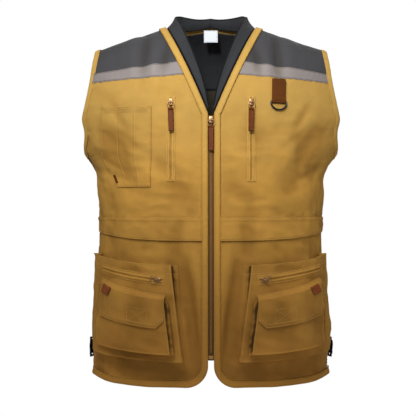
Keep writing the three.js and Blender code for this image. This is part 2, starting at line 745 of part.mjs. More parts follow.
// A leather pull: a loop round the link at the origin and a tab that hangs down from it
function tabGeometry({ width, length, thick, hole }) {
  const outer = hole + thick / 2;
  const half = thick / 2;
  const shape = new THREE.Shape();
  const meet = Math.sqrt(outer ** 2 - half ** 2);
  const start = Math.atan2(half, -meet);
  shape.moveTo(-meet, half);
  shape.absarc(0, 0, outer, start, -start, true);
  shape.lineTo(-length, -half);
  shape.lineTo(-length, half);
  const bore = new THREE.Path();
  bore.absarc(0, 0, hole, 0, Math.PI * 2, false);
  shape.holes.push(bore);
  return acrossProfile(shape, width);
}

// A zip slider on the coil: a body with a bail on its face, bored across for the link
const SLIDER = { top: 9, foot: 6.6, length: 13, thick: 2.6, bailHeight: 4.4, bailHalf: 3.2, bailWidth: 2.8, bore: 1.25 };

function sliderGeometry() {
  const outline = new THREE.Shape();
  const half = SLIDER.length / 2;
  outline.moveTo(-SLIDER.foot / 2, -half);
  outline.lineTo(SLIDER.foot / 2, -half);
  outline.lineTo(SLIDER.top / 2, half * 0.5);
  outline.lineTo(SLIDER.top / 2 - 1.6, half);
  outline.lineTo(-SLIDER.top / 2 + 1.6, half);
  outline.lineTo(-SLIDER.top / 2, half * 0.5);
  const body = new THREE.ExtrudeGeometry(outline, { depth: SLIDER.thick, bevelEnabled: false });
  const bail = new THREE.Shape();
  const top = SLIDER.thick + SLIDER.bailHeight;
  bail.moveTo(-SLIDER.bailHalf, SLIDER.thick / 2);
  bail.lineTo(SLIDER.bailHalf, SLIDER.thick / 2);
  bail.lineTo(SLIDER.bailHalf, top - 1.6);
  bail.lineTo(SLIDER.bailHalf - 1.4, top);
  bail.lineTo(-SLIDER.bailHalf + 1.4, top);
  bail.lineTo(-SLIDER.bailHalf, top - 1.6);
  const bore = new THREE.Path();
  bore.absarc(0, sliderBoreHeight(), SLIDER.bore, 0, Math.PI * 2, false);
  bail.holes.push(bore);
  return joined(body, acrossProfile(bail, SLIDER.bailWidth, 5));
}

const sliderBoreHeight = () => SLIDER.thick + SLIDER.bailHeight - SLIDER.bore - 0.9;

// A slider with its link and leather pull, hanging from a place on the cloth
const PULL = { linkWidth: 13.8, corner: 1.4, linkHeight: 13.5, wire: 1.4, tabWidth: 9.6, tabThick: 2.2, hole: 1.2 };

function addPull(name, place, lift, { tabLength, turn = 0, parent = vest }) {
  const frame = frameOn(place, lift, turn);
  addPiece(`${name}_slider`, sliderGeometry().applyMatrix4(frame), BRASS, parent);
  const drop = PULL.linkHeight - PULL.wire;
  const link = wireRing(PULL.linkWidth, PULL.linkHeight, PULL.corner, PULL.wire);
  link.translate(0, -drop / 2, sliderBoreHeight());
  addPiece(`${name}_link`, link.applyMatrix4(frame), BRASS, parent);
  if (!tabLength) return;
  const tab = tabGeometry({ width: PULL.tabWidth, length: tabLength, thick: PULL.tabThick, hole: PULL.hole });
  tab.translate(0, -drop, sliderBoreHeight());
  addPiece(`${name}_tab`, tab.applyMatrix4(frame), BROWN, parent);
}

// The front zip, closed up to the foot of the V
function addFrontZip() {
  const top = climbOfDrop(CHEST_DROP + 3);
  const foot = climbOfDrop(ZIP_DROP);
  const stripOf = (width, lift, thick) => {
    const side = (half) => (climb) => aroundAt(half, climb);
    const edges = { from: side(-width / 2), to: side(width / 2), bottom: () => foot, top: () => top };
    return clothWall(evenly(1), evenly(10), edges, { lift: () => lift, thick });
  };
  const tapeLift = -1.1;
  const coilLift = tapeLift + LAYER + COIL_THICK;
  addPiece("front_zip_tape", stripOf(2 * (FRONT_GAP - SEAM), tapeLift, TAPE_THICK), ZIP_TAPE);
  addPiece("front_zip_coil", stripOf(COIL_WIDTH, coilLift, COIL_THICK), ZIP_TAPE);
  const box = new THREE.BoxGeometry(9, 7, 2.6);
  const boxPlace = { around: 0, climb: foot - 4.2 };
  addPiece("front_zip_box", box.applyMatrix4(frameOn(boxPlace, 0.4)), BRASS);
  addPull("front_zip", { around: 0, climb: climbOfDrop(CHEST_DROP + 12) }, coilLift + SEAM, { tabLength: 47 });
}

// Chest zips, each in a welt
function addChestZips() {
  const middle = CHEST_ZIP_DROP + CHEST_ZIP_LENGTH / 2;
  const rows = 6;
  const cols = 1;
  const plate = (width, height, thick, layers) => {
    const flat = new THREE.BoxGeometry(width, height, thick, cols, layers, 1);
    return flat.translate(0, 0, thick / 2);
  };
  const place = { x: CHEST_ZIP_X, drop: middle };
  const onPanel = () => LAYER;
  const outer = wrapOn(plate(WELT_WIDTH, CHEST_ZIP_LENGTH + 8, WELT_THICK, rows), place, onPanel);
  const slit = plate(WELT_SLIT, CHEST_ZIP_LENGTH, 8, rows).translate(0, 0, -4);
  const welt = cutFrom(outer, wrapOn(slit, place, onPanel));
  const coil = wrapOn(plate(WELT_SLIT - 0.8, CHEST_ZIP_LENGTH - 0.8, WELT_THICK, rows), place, onPanel);
  const pull = new THREE.Group();
  const at = spot(CHEST_ZIP_X, -CHEST_ZIP_DROP - 8);
  addPull("chest_zip", at, LAYER + WELT_THICK + SEAM, { tabLength: 44, parent: pull });
  addPair("chest_zip_welt", welt, OCHRE);
  addPair("chest_zip_coil", coil, ZIP_TAPE);
  for (const mesh of pull.children) {
    const name = mesh.name;
    addPiece(`${name}_left`, mesh.geometry, looks(name));
    addPiece(`${name}_right`, mirrored(mesh.geometry), looks(name));
  }
}

const looks = (name) => (name.endsWith("tab") ? BROWN : BRASS);

// Flat chest pocket with a slanted lower corner and a brown tag
function addChestPocket() {
  const height = CHEST_POCKET_BOTTOM - CHEST_POCKET_TOP;
  const rows = 5;
  const flat = new THREE.BoxGeometry(1, 1, CHEST_POCKET_THICK, 7, rows, 1);
  const position = flat.attributes.position;
  const width = CHEST_POCKET_FAR - CHEST_POCKET_NEAR;
  for (let i = 0; i < position.count; i += 1) {
    const v = position.getY(i) + 0.5;
    const cut = CHEST_POCKET_CUT_WIDTH * Math.max(1 - (v * height) / CHEST_POCKET_CUT, 0);
    const reach = width - cut;
    position.setXYZ(
      i,
      -CHEST_POCKET_NEAR - reach * (0.5 - position.getX(i)),
      -CHEST_POCKET_BOTTOM + v * height,
      position.getZ(i) + CHEST_POCKET_THICK / 2,
    );
  }
  addPiece("chest_pocket", wrapOn(flat, { x: 0, drop: 0 }, () => LAYER * 1.9), OCHRE);
  const tag = new THREE.BoxGeometry(POCKET_TAG.width, POCKET_TAG.length, POCKET_TAG.thick);
  tag.translate(0, 0, POCKET_TAG.thick / 2);
  const tagPlace = { x: -181, drop: 302, turn: 28 };
  const onPocket = () => LAYER * 2.4 + CHEST_POCKET_THICK + SEAM;
  addPiece("chest_pocket_tag", wrapOn(tag, tagPlace, onPocket), BROWN);
}

// The ring on the wearer's left hangs in a strap that is folded round its bar
function addRing() {
  const bar = RING_WIRE / 2 + 0.4;
  const outer = bar + STRAP_THICK;
  const stand = outer + 0.4;
  const barPlace = spot(STRAP_X + 2, -STRAP_TOP - STRAP_LENGTH + outer);
  const frame = frameOn(barPlace, stand);
  const rise = STRAP_LENGTH - outer;
  const shape = new THREE.Shape();
  shape.moveTo(rise, -stand + LAYER);
  shape.lineTo(rise, -stand + LAYER + 2 * STRAP_THICK);
  shape.lineTo(rise * 0.35, -stand + LAYER + 2 * STRAP_THICK + 0.8);
  shape.lineTo(outer * 0.9, outer * 0.55);
  shape.absarc(0, 0, outer, degToRad(31), degToRad(329), false);
  shape.lineTo(rise * 0.3, -outer * 0.6);
  const bore = new THREE.Path();
  bore.absarc(0, 0, bar, 0, Math.PI * 2, false);
  shape.holes.push(bore);
  addPiece("ring_strap", acrossProfile(shape, STRAP_WIDTH, 5).applyMatrix4(frame), BROWN);
  const half = STRAP_WIDTH / 2 + SEAM + RING_WIRE / 2 + 0.3;
  const shoulder = 2.4;
  const bow = RING_DEPTH - RING_WIRE / 2 - shoulder;
  const outline = [new THREE.Vector2(half - 0.7, 0), new THREE.Vector2(0.7 - half, 0)];
  const steps = 12;
  for (let i = 0; i <= steps; i += 1) {
    const turn = (HALF_TURN * i) / steps;
    outline.push(new THREE.Vector2(-half * cosOf(turn), -shoulder - bow * sinOf(turn)));
  }
  addPiece("ring", sweepWire(outline, RING_WIRE).applyMatrix4(frame), GUNMETAL);
}

// Cargo pockets. stand is the height of the face over the panel.
const degreesFor = 3.6; // length of one degree round the lower body

function pocketPlace({ nearTop, nearBottom, far, top, bottom, topRise, bottomRise }, grow) {
  const low = climbOfDrop(bottom);
  const high = climbOfDrop(top);
  const near = (climb) => aroundAt(lerp(nearBottom, nearTop, (climb - low) / (high - low)) - grow, climb);
  const share = (around) => {
    const start = near(low);
    return clamp((around - start) / (far - start), 0, 1);
  };
  return {
    from: near,
    to: () => far + grow / degreesFor,
    bottom: (around) => low + bottomRise * share(around) ** 1.5 - grow,
    top: (around) => high + topRise * share(around) ** 1.8,
  };
}

// Shares of a place across and up between edges
function sharesAt({ from, to, bottom, top }, { around, climb }) {
  const u = clamp((around - from(climb)) / (to(climb) - from(climb)), 0, 1);
  const v = clamp((climb - bottom(around)) / (top(around) - bottom(around)), 0, 1);
  return { u, v };
}

const cargoFace = pocketPlace(CARGO, 0);

function cargoStand(at) {
  const { u, v } = sharesAt(cargoFace, at);
  const far = lerp(CARGO.stand * 0.5, CARGO.gape, v);
  return lerp(CARGO.stand, far, u ** 1.5) + 2.5 * sinOf(HALF_TURN * u);
}

// A pocket open at its top and towards the panel: a face with a gusset round it
function trayGeometry({ us, vs, size, spread, base, face, wall }) {
  const block = (grow, floor, roof, open) => {
    const wide = between(pocketPlace({ ...size, nearTop: size.nearTop - spread }, grow));
    const narrow = between(pocketPlace(size, grow));
    return bentBox(us.length - 1, vs.length - 1, (u, v, w) => {
      const share = vs[Math.round(v * (vs.length - 1))] * open;
      const at = (w > 0.5 ? narrow : wide)(us[Math.round(u * (us.length - 1))], share);
      return clothPoint(at, w > 0.5 ? face(at) + roof : base(at) + floor);
    });
  };
  return cutFrom(block(0, 0, 0, 1), block(-wall, -8, -wall, 1.12));
}

function addCargoPockets() {
  const us = [0, 0.16, 0.32, 0.48, 0.62, 0.75, 0.88, 1];
  const vs = evenly(4);
  const shell = trayGeometry({
    us,
    vs,
    size: CARGO,
    spread: CARGO.gusset,
    base: () => LAYER * 1.5,
    face: cargoStand,
    wall: CARGO.wall,
  });
  addPair("cargo_pocket", shell, OCHRE);
}

const cargoLift = (at) => cargoStand(at);
const pouchFace = pocketPlace(POUCH, 0);

function pouchLift(at) {
  const { u, v } = sharesAt(pouchFace, at);
  const swell = 2 * sinOf(HALF_TURN * u);
  const full = lerp(POUCH.stand, POUCH.stand * 0.8, v) * lerp(1, 0.25, u ** 2);
  return cargoLift(at) + LAYER + full + swell;
}

// Flap over the pouch, with cut lower corners
const flapTop = (around) => climbOfDrop(FLAP.top) + FLAP.topRise * flapShare(around) ** 1.3;
const flapNear = (climb) => aroundAt(FLAP.near, climb);

function flapShare(around) {
  const start = flapNear(climbOfDrop(FLAP.bottom));
  return clamp((around - start) / (FLAP.far - start), 0, 1);
}

function flapBottom(around) {
  const share = flapShare(around);
  const cut = 0.09;
  const corner = Math.max(1 - Math.min(share, 1 - share) / cut, 0) * FLAP.corner;
  return climbOfDrop(FLAP.bottom) + FLAP.bottomRise * share + corner;
}

function flapLift(at) {
  const below = flapTop(at.around) - at.climb;
  const rise = smoothstep(below, 0, 10);
  return cargoLift(at) + LAYER * 1.6 + rise * (pouchLift(at) - cargoLift(at));
}

function addPouch() {
  const us = [0, 0.2, 0.4, 0.6, 0.75, 0.88, 1];
  const pouch = trayGeometry({
    us,
    vs: evenly(3),
    size: POUCH,
    spread: 3,
    base: (at) => cargoLift(at) + LAYER * 1.6,
    face: pouchLift,
    wall: POUCH.wall,
  });
  addPair("flap_pouch", pouch, OCHRE);
  const edges = { from: flapNear, to: () => FLAP.far, bottom: flapBottom, top: flapTop };
  const lift = (at) => flapLift(at) + FLAP.thick;
  const cols = [0, 0.09, 0.3, 0.5, 0.66, 0.79, 0.91, 1];
  const rows = [0, 0.3, 0.6, 0.83, 0.92, 1];
  addPair("flap", clothWall(cols, rows, edges, { lift, thick: FLAP.thick }), OCHRE);
}

// The zip on the cargo pocket, with its slider at the inner end and the link lying along the coil
function addPocketZips() {
  const near = aroundAt(POCKET_ZIP.near, climbOfDrop(POCKET_ZIP.drop));
  const far = aroundAt(POCKET_ZIP.far, climbOfDrop(POCKET_ZIP.drop));
  const line = (around) => {
    const share = clamp((around - near) / (far - near), 0, 1);
    return climbOfDrop(POCKET_ZIP.drop) + POCKET_ZIP.rise * share ** 1.9;
  };
  const edges = {
    from: () => near,
    to: () => far,
    bottom: (around) => line(around) - POCKET_ZIP.width / 2,
    top: (around) => line(around) + POCKET_ZIP.width / 2,
  };
  const lift = (at) => cargoLift(at) + LAYER + TAPE_THICK;
  const tape = clothWall(evenly(8), evenly(1), edges, { lift, thick: TAPE_THICK });
  addPair("pocket_zip", tape, ZIP_TAPE);
  const around = near + 2.4;
  const place = { around, climb: line(around) };
  const pull = new THREE.Group();
  addPull("pocket_zip", place, lift(place) + LAYER, { turn: 94, parent: pull });
  for (const mesh of pull.children) addPair(mesh.name, mesh.geometry, BRASS);
  const { x, drop, side, thick, turn } = POCKET_LABEL;
  const label = new THREE.BoxGeometry(side, side, thick, 2, 2, 1).translate(0, 0, thick / 2);
  const onFlap = (at) => flapLift(at) + FLAP.thick + LAYER * 2;
  addPair("pocket_label", wrapOn(label, { x, drop, turn }, onFlap), BROWN);
}

// Side straps, each woven through its buckle
function addSideStraps() {
  const climb = climbOfDrop(SIDE_STRAP.drop);
  const middle = { around: BUCKLE.at, climb };
  const frame = frameOn(middle, SIDE_STRAP.stand);
  const toBuckle = frame.clone().invert();
  const along = (around) => formPoint(around, climb).applyMatrix4(toBuckle).x;
  const pitch = (BUCKLE.width - BUCKLE.bar) / 2;
  const lift = ({ around }) => {
    const far = Math.abs(along(around));
    const over = 1 - smoothstep(far, BUCKLE.bar / 2 + 0.3, pitch - BUCKLE.bar / 2 - 0.3);
    const high = SIDE_STRAP.stand + BUCKLE.thick + SEAM;
    const ends = smoothstep(far, pitch, pitch * 2);
    const low = lerp(SIDE_STRAP.stand - SIDE_STRAP.thick - 2 * SEAM, LAYER, ends);
    return lerp(low, high, over) + SIDE_STRAP.thick;
  };
  const half = SIDE_STRAP.width / 2;
  const edges = {
    from: () => SIDE_STRAP.from,
    to: () => SIDE_STRAP.to,
    bottom: () => climb - half,
    top: () => climb + half,
  };
  const cols = 26;
  addPair("side_strap", clothWall(evenly(cols), evenly(1), edges, { lift, thick: SIDE_STRAP.thick }), NAVY);
  let buckle = new THREE.BoxGeometry(BUCKLE.width, BUCKLE.height + 12, BUCKLE.thick);
  for (const side of [-1, 1]) {
    const slot = new THREE.BoxGeometry(pitch - BUCKLE.bar, BUCKLE.height + 4, BUCKLE.thick * 2);
    buckle = cutFrom(buckle, slot.translate((side * pitch) / 2, 0, 0));
  }
  buckle.translate(0, 0, BUCKLE.thick / 2).applyMatrix4(frame);
  addPair("side_buckle", buckle, NAVY);
}

addFronts();
addBack();
addBands();
addBindings();
addCollar();
addWaistFlap();
addLining();
addLabel();
addFrontZip();
addChestZips();
addChestPocket();
addRing();
addCargoPockets();
addPouch();
addPocketZips();
addSideStraps();

export default vest;
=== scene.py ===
"""The look of a canvas utility work vest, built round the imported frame.

Sizes are in millimetres and angles in degrees until a mesh is written, which is in metres.
+Z is up, the front faces -Y, and the wearer's left is +X.
"""

import logging
import math
from collections.abc import Callable, Sequence
from dataclasses import dataclass, field
from enum import Enum
from functools import cache

import bmesh
import bpy
import numpy as np
from mathutils import Matrix, Vector


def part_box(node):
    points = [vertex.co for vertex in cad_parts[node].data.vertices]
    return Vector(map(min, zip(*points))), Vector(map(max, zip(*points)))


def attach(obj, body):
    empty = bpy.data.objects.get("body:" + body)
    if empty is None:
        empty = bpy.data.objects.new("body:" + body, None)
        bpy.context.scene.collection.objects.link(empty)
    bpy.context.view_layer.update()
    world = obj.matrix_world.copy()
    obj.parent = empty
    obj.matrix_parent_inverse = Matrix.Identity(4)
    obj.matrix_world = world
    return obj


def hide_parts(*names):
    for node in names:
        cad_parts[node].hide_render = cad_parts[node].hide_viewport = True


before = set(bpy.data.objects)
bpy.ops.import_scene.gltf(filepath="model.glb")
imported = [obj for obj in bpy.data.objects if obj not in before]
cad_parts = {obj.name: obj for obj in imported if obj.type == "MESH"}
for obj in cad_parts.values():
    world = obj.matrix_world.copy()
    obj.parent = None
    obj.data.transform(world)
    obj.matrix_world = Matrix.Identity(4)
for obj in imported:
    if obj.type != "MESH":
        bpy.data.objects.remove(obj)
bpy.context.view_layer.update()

LOG = logging.getLogger("work_vest")
MM = 0.001
ROW = 2.2
"""Inset of the usual row of stitches."""

Array = np.ndarray
Place = tuple[Array, Array]
Surface = Callable[[Array, Array], Array]
Lift = Callable[[Array, Array], Array]

SECTIONS = np.array(
    [
        (-1.0, 1.04, 1.06, 1.09),
        (-0.74, 1.035, 1.05, 1.0),
        (-0.48, 0.99, 1.01, 0.93),
        (-0.29, 1.0, 1.0, 0.96),
        (-0.217, 1.01, 1.0, 1.0),
        (-0.159, 1.085, 0.99, 1.04),
        (-0.122, 1.145, 0.98, 1.05),
        (-0.068, 1.185, 0.96, 1.06),
        (0.0, 1.26, 0.93, 1.06),
        (1.0, 1.28, 0.85, 0.98),
    ]
)
"""Level, width, front and back of the form, as in the frame's own solids."""

FOLDS = np.array(
    [
        (0.58, 0.09, 0.07, 0.017, -0.035, 4),
        (0.68, 0.1, 0.08, 0.022, 0.02, 0),
        (0.4, 0.1, 0.06, 0.014, -0.025, 10),
        (0.49, 0.12, 0.05, 0.018, 0.022, 6),
        (0.82, 0.35, 0.07, 0.03, -0.055, -38),
        (0.6, 0.4, 0.06, 0.035, 0.03, -50),
        (0.3, 0.48, 0.05, 0.03, -0.02, 60),
        (0.19, 0.8, 0.12, 0.022, -0.06, -6),
        (0.13, 0.68, 0.1, 0.02, 0.025, -12),
        (0.5, 0.96, 0.03, 0.1, -0.035, 0),
    ]
)
"""Across, drop, long, wide, deep and turn of each fold of the solids, as shares."""

CREASES = np.array(
    [
        (0.78, 0.27, 0.05, 0.012, -0.022, -30),
        (0.7, 0.33, 0.045, 0.012, -0.02, -52),
        (0.86, 0.42, 0.035, 0.01, -0.018, -62),
        (0.45, 0.505, 0.03, 0.008, 0.012, 82),
        (0.3, 0.62, 0.05, 0.016, -0.022, 20),
        (0.22, 0.7, 0.07, 0.012, -0.02, 8),
        (0.1, 0.84, 0.07, 0.01, 0.014, -4),
        (0.27, 0.9, 0.05, 0.014, 0.016, 12),
        (0.7, 0.955, 0.016, 0.05, -0.018, 5),
        (0.34, 0.945, 0.02, 0.03, -0.022, 30),
        (0.56, 0.785, 0.04, 0.028, -0.024, 24),
        (0.72, 0.755, 0.035, 0.022, 0.02, -18),
        (0.36, 0.78, 0.03, 0.016, -0.018, 12),
        (0.48, 0.86, 0.024, 0.05, -0.02, 8),
        (0.75, 0.87, 0.03, 0.026, 0.016, -20),
        (0.15, 0.835, 0.1, 0.013, -0.03, -7),
        (0.235, 0.8, 0.09, 0.014, 0.022, -10),
        (0.5, 0.6, 0.05, 0.02, 0.018, -50),
        (0.28, 0.57, 0.045, 0.016, -0.018, 38),
        (0.62, 0.5, 0.02, 0.07, 0.014, 6),
        (0.4, 0.4, 0.025, 0.06, -0.014, 12),
        (0.66, 0.69, 0.016, 0.06, -0.02, -14),
        (0.3, 0.975, 0.02, 0.07, -0.026, 2),
    ]
)
"""Finer creases of the same kind, which only the cloth has."""


def sin_of(degrees: Array | float) -> Array:
    """The sine of an angle in degrees."""
    return np.sin(np.radians(degrees))


def cos_of(degrees: Array | float) -> Array:
    """The cosine of an angle in degrees."""
    return np.cos(np.radians(degrees))


def lerp(low: Array | float, high: Array | float, share: Array | float) -> Array:
    """The value at a share of the way from low to high."""
    return low + (high - low) * share


def smoothstep(value: Array | float, low: float, high: float) -> Array:
    """A smooth step from 0 at low to 1 at high."""
    share = np.clip((value - low) / (high - low), 0.0, 1.0)
    return share * share * (3.0 - 2.0 * share)


def bell(value: Array, middle: float, width: float) -> Array:
    """A smooth hump of height 1 round a middle."""
    return np.exp(-(((value - middle) / width) ** 2))


def unit(vectors: Array) -> Array:
    """Vectors brought to length 1."""
    return vectors / np.maximum(np.linalg.norm(vectors, axis=-1, keepdims=True), 1e-9)


def steady(value: float) -> Callable[[Array], Array]:
    """An edge that stays at one value."""
    return lambda at: value + 0 * at


def run_of(points: Array) -> Array:
    """Length along a line of points, from its start."""
    return np.concatenate([[0], np.cumsum(np.linalg.norm(np.diff(points, axis=0), axis=1))])


def rows_at(at: Array, run: Array, table: Array) -> Array:
    """A table's rows at lengths along a line."""
    return np.stack([np.interp(at, run, column) for column in table.T], axis=-1)


def into_frame(points: Array, at: Matrix) -> Array:
    """Points of a frame, where they stand round the vest."""
    matrix = np.array(at)
    return points @ matrix[:3, :3].T + matrix[:3, 3]


def curve_through(levels: Array, values: Array, at: Array) -> Array:
    """A smooth curve through the rows of a table.

    Args:
        levels: The rows' levels, rising.
        values: The rows' values.
        at: The levels asked for.

    Returns:
        The value at each level asked for.
    """
    at = np.clip(at, levels[0], levels[-1])
    upper = np.clip(np.searchsorted(levels, at, side="left"), 1, len(levels) - 1)
    ahead = np.minimum(np.arange(len(levels)) + 1, len(levels) - 1)
    behind = np.maximum(np.arange(len(levels)) - 1, 0)
    slopes = (values[ahead] - values[behind]) / (levels[ahead] - levels[behind])
    span = levels[upper] - levels[upper - 1]
    t = (at - levels[upper - 1]) / span
    ease = span * t * (1 - t) * ((1 - t) * slopes[upper - 1] - t * slopes[upper])
    return lerp(values[upper - 1], values[upper], t * t * (3 - 2 * t)) + ease


@dataclass(frozen=True)
class Crumple:
    """Small uneven waves of worn canvas, the same on each run."""

    seed: int
    shortest: float
    longest: float
    waves: int = 22

    def at(self, across: Array, up: Array) -> Array:
        """The waves' height at places on the cloth.

        Args:
            across: Length round the body.
            up: Length up the cloth.

        Returns:
            Heights that mostly lie between -1 and 1.
        """
        chance = np.random.default_rng(self.seed)
        total = np.zeros(np.broadcast(across, up).shape)
        for _ in range(self.waves):
            length = math.exp(chance.uniform(math.log(self.shortest), math.log(self.longest)))
            turn, phase = chance.uniform(0, 2 * math.pi, 2)
            way = across * math.cos(turn) + up * math.sin(turn)
            total = total + np.sin(way * (2 * math.pi / length) + phase)
        return total / math.sqrt(self.waves * 1.6)


WIDE_WAVES = Crumple(seed=11, shortest=60.0, longest=170.0)
FINE_WAVES = Crumple(seed=23, shortest=17.0, longest=48.0)
PUCKER_WAVES = Crumple(seed=37, shortest=5.5, longest=13.0, waves=10)


@dataclass(frozen=True)
class TorsoForm:
    """The form that the vest keeps, reached by an angle round it and a length up the cloth."""

    length: float = 696.0
    chest_drop: float = 180.0
    half_chest: float = 222.0
    front_depth: float = 130.0
    back_depth: float = 112.0
    shoulder_half: float = 227.0
    ridge_top: float = 26.5
    shoulder_fall: float = 74.0
    shoulder_radius: float = 150.0
    flatness: float = 0.8
    neck_half: float = 88.6
    neck_back: float = 48.0
    armpit_drop: float = 252.0
    armhole_turn: float = 37.0
    waist_drop: float = 377.0
    side_rise: float = 14.0
    back_rise: float = 20.0
    hem_radius: float = 42.0
    front_gap: float = 5.4
    seam: float = 0.4
    stripe_drop: float = 100.0
    stripe_slope: float = 0.078
    stripe_width: float = 25.0
    wear: float = 1.5
    per_degree: float = 3.6
    arm_per_degree: float = 3.3

    @property
    def shoulder_climb(self) -> float:
        """Length on the cloth from the chest up to the shoulder line."""
        return self.shoulder_radius * math.pi / 2

    @property
    def waist_climb(self) -> float:
        """Climb of the waist seam."""
        return self.chest_drop - self.waist_drop

    @property
    def neck_slant(self) -> float:
        """Angle of the V from upright, in radians."""
        return math.atan((self.neck_half - self.front_gap) / self.chest_drop)

    @property
    def seam_angle(self) -> float:
        """Angle that half a side seam takes."""
        return math.degrees((self.seam / 2 / self.front_depth) ** (1 / self.flatness))

    def climb_of(self, drop: float) -> float:
        """Climb of a drop below the shoulders."""
        return self.chest_drop - drop

    def share(self, column: int, climb: Array) -> Array:
        """A column of the section table at a climb."""
        low = np.asarray(climb) / (self.length - self.chest_drop)
        high = np.asarray(climb) / self.shoulder_climb
        return curve_through(SECTIONS[:, 0], SECTIONS[:, column], np.where(low < 0, low, high))

    def half_width(self, climb: Array) -> Array:
        """Half the form's width."""
        return self.half_chest * self.share(1, climb)

    def lean(self, climb: Array) -> Array:
        """How far the cloth has turned over the shoulder."""
        return np.degrees(np.maximum(climb, 0) / self.shoulder_radius)

    def around_at(self, x: Array, climb: Array) -> Array:
        """The angle round the form at a distance from the middle."""
        return np.degrees(np.arcsin(np.clip(x / self.half_width(climb), -1, 1)))

    def ridge(self, around: Array) -> Array:
        """Height of the shoulder line above an angle."""
        x = np.abs(self.half_width(self.shoulder_climb) * sin_of(around))
        return self.ridge_top - self.shoulder_fall * x / self.shoulder_half

    def height(self, around: Array, climb: Array) -> Array:
        """Height of a point of the form."""
        over = (self.ridge(around) + self.chest_drop) * sin_of(self.lean(climb))
        return np.where(np.asarray(climb) < 0, climb - self.chest_drop, over - self.chest_drop)

    def climb_at(self, around: Array, z: Array) -> Array:
        """The climb at which the form has a height."""
        share = (z + self.chest_drop) / (self.ridge(around) + self.chest_drop)
        over = self.shoulder_radius * np.arcsin(np.clip(share, 0, 1))
        return np.where(np.asarray(z) < -self.chest_drop, z + self.chest_drop, over)

    def depth(self, around: Array, climb: Array) -> Array:
        """Depth of the front or the back, whichever the angle is on."""
        front = self.front_depth * self.share(2, climb)
        back = self.back_depth * self.share(3, climb)
        return np.where(cos_of(around) > 0, front, back)

    def point(self, around: Array, climb: Array) -> Array:
        """A point of the smooth form."""
        c = cos_of(around)
        y = -np.sign(c) * self.depth(around, climb) * np.abs(c) ** self.flatness
        x = self.half_width(climb) * sin_of(around)
        parts = np.broadcast_arrays(x, y * cos_of(self.lean(climb)), self.height(around, climb))
        return np.stack(parts, axis=-1)

    def normal(self, around: Array, climb: Array) -> Array:
        """The outward normal of the smooth form."""
        turn, rise = 0.5, 1.0
        across = self.point(around + turn, climb) - self.point(around - turn, climb)
        up = self.point(around, climb + rise) - self.point(around, climb - rise)
        return unit(np.cross(across, up))

    def fold_lift(self, around: Array, climb: Array, table: Array = FOLDS) -> Array:
        """How far the folds move the cloth outwards."""
        x = np.abs(self.half_width(climb) * sin_of(around))
        z = self.height(around, climb)
        lift = np.zeros(np.broadcast(x, z).shape)
        for across, drop, long, wide, deep, turn in table:
            dx = x - across * self.half_chest
            dz = z + drop * self.length
            along = (dz * cos_of(turn) - dx * sin_of(turn)) / (long * self.length)
            aside = (dx * cos_of(turn) + dz * sin_of(turn)) / (wide * self.length)
            lift = lift + deep * self.front_depth * np.exp(-(along**2) - aside**2)
        return lift * smoothstep(cos_of(around), 0.0, 0.3)

    def crumple(self, around: Array, climb: Array) -> Array:
        """How far the fine creases move the cloth, for every layer alike."""
        x = self.half_width(climb) * sin_of(around)
        across = np.asarray(around) * self.per_degree
        calm = smoothstep(np.abs(x), 16.0, 48.0) * np.where(cos_of(around) > 0, 1.0, 0.0)
        calm = np.maximum(calm, np.where(cos_of(around) <= 0, 1.0, 0.0))
        low = smoothstep(-np.asarray(climb), -40.0, 120.0)
        wide = WIDE_WAVES.at(across, climb) * lerp(0.5, 1.5, low)
        fine = FINE_WAVES.at(across * 0.8, climb) * lerp(0.16, 0.42, low)
        ridge = (0.35 - np.abs(FINE_WAVES.at(climb * 0.7, across * 0.45))) * lerp(0.15, 0.5, low)
        crease = self.fold_lift(around, climb, CREASES)
        return self.wear * calm * (wide + fine + ridge) + crease

    def cloth(self, around: Array, climb: Array, lift: Array | float, worn: bool = True) -> Array:
        """A point of the cloth, lifted off the form.

        Args:
            around: Angle round the form.
            climb: Length up the cloth.
            lift: Height over the form's surface.
            worn: Whether the fine creases count.

        Returns:
            The points in millimetres.
        """
        rise = lift + self.fold_lift(around, climb)
        if worn:
            rise = rise + self.crumple(around, climb)
        return self.point(around, climb) + self.normal(around, climb) * np.asarray(rise)[..., None]

    def spot(self, x: Array, z: Array) -> Place:
        """The place of the front at a distance from the middle and a height."""
        climb = z + self.chest_drop
        around = self.around_at(x, climb)
        for _ in range(4):
            climb = self.climb_at(around, z)
            around = self.around_at(x, climb)
        return around, climb

    def front_edge(self, inset: float) -> Callable[[Array], Array]:
        """Angle of the front edge and the V, moved into the cloth by an inset."""

        def edge(climb: Array) -> Array:
            """The angle at a climb."""
            straight = self.front_gap + inset
            reach = (self.neck_half - self.front_gap) * sin_of(self.lean(climb))
            slanted = self.front_gap + reach + inset / math.cos(self.neck_slant)
            x = np.where(np.asarray(climb) < 0, straight, np.maximum(straight, slanted))
            return self.around_at(x, climb)

        return edge

    def hem(self, around: Array, inset: float) -> Array:
        """Climb of the hem, with a rounded corner at the front edge."""
        base = self.climb_of(self.length) + self.side_rise * sin_of(around) ** 6
        x = np.abs(self.half_width(base) * sin_of(around))
        to_arc = self.front_gap + self.hem_radius - x
        radius = self.hem_radius - inset
        arc = self.hem_radius - np.sqrt(np.maximum(radius**2 - to_arc**2, 0))
        back = self.back_rise * cos_of(around) ** 2 + inset
        return base + np.select([cos_of(around) < 0, to_arc <= 0], [back, inset], arc)

    def armhole(self, climb: Array, inset: float) -> Array:
        """Angle of the armhole's front edge."""
        low = self.climb_of(self.armpit_drop) - inset
        share = np.clip((climb - low) / (self.shoulder_climb - low), 0, 1)
        reach = (1 - (1 - share) ** 2.6) ** 0.42
        return 90 - (self.armhole_turn + inset / self.arm_per_degree) * reach

    def side(self, inset: float) -> Callable[[Array], Array]:
        """Angle of the outer edge of the front, along the armhole and the side seam."""
        return lambda climb: np.minimum(self.armhole(climb, inset), 90 - self.seam_angle)

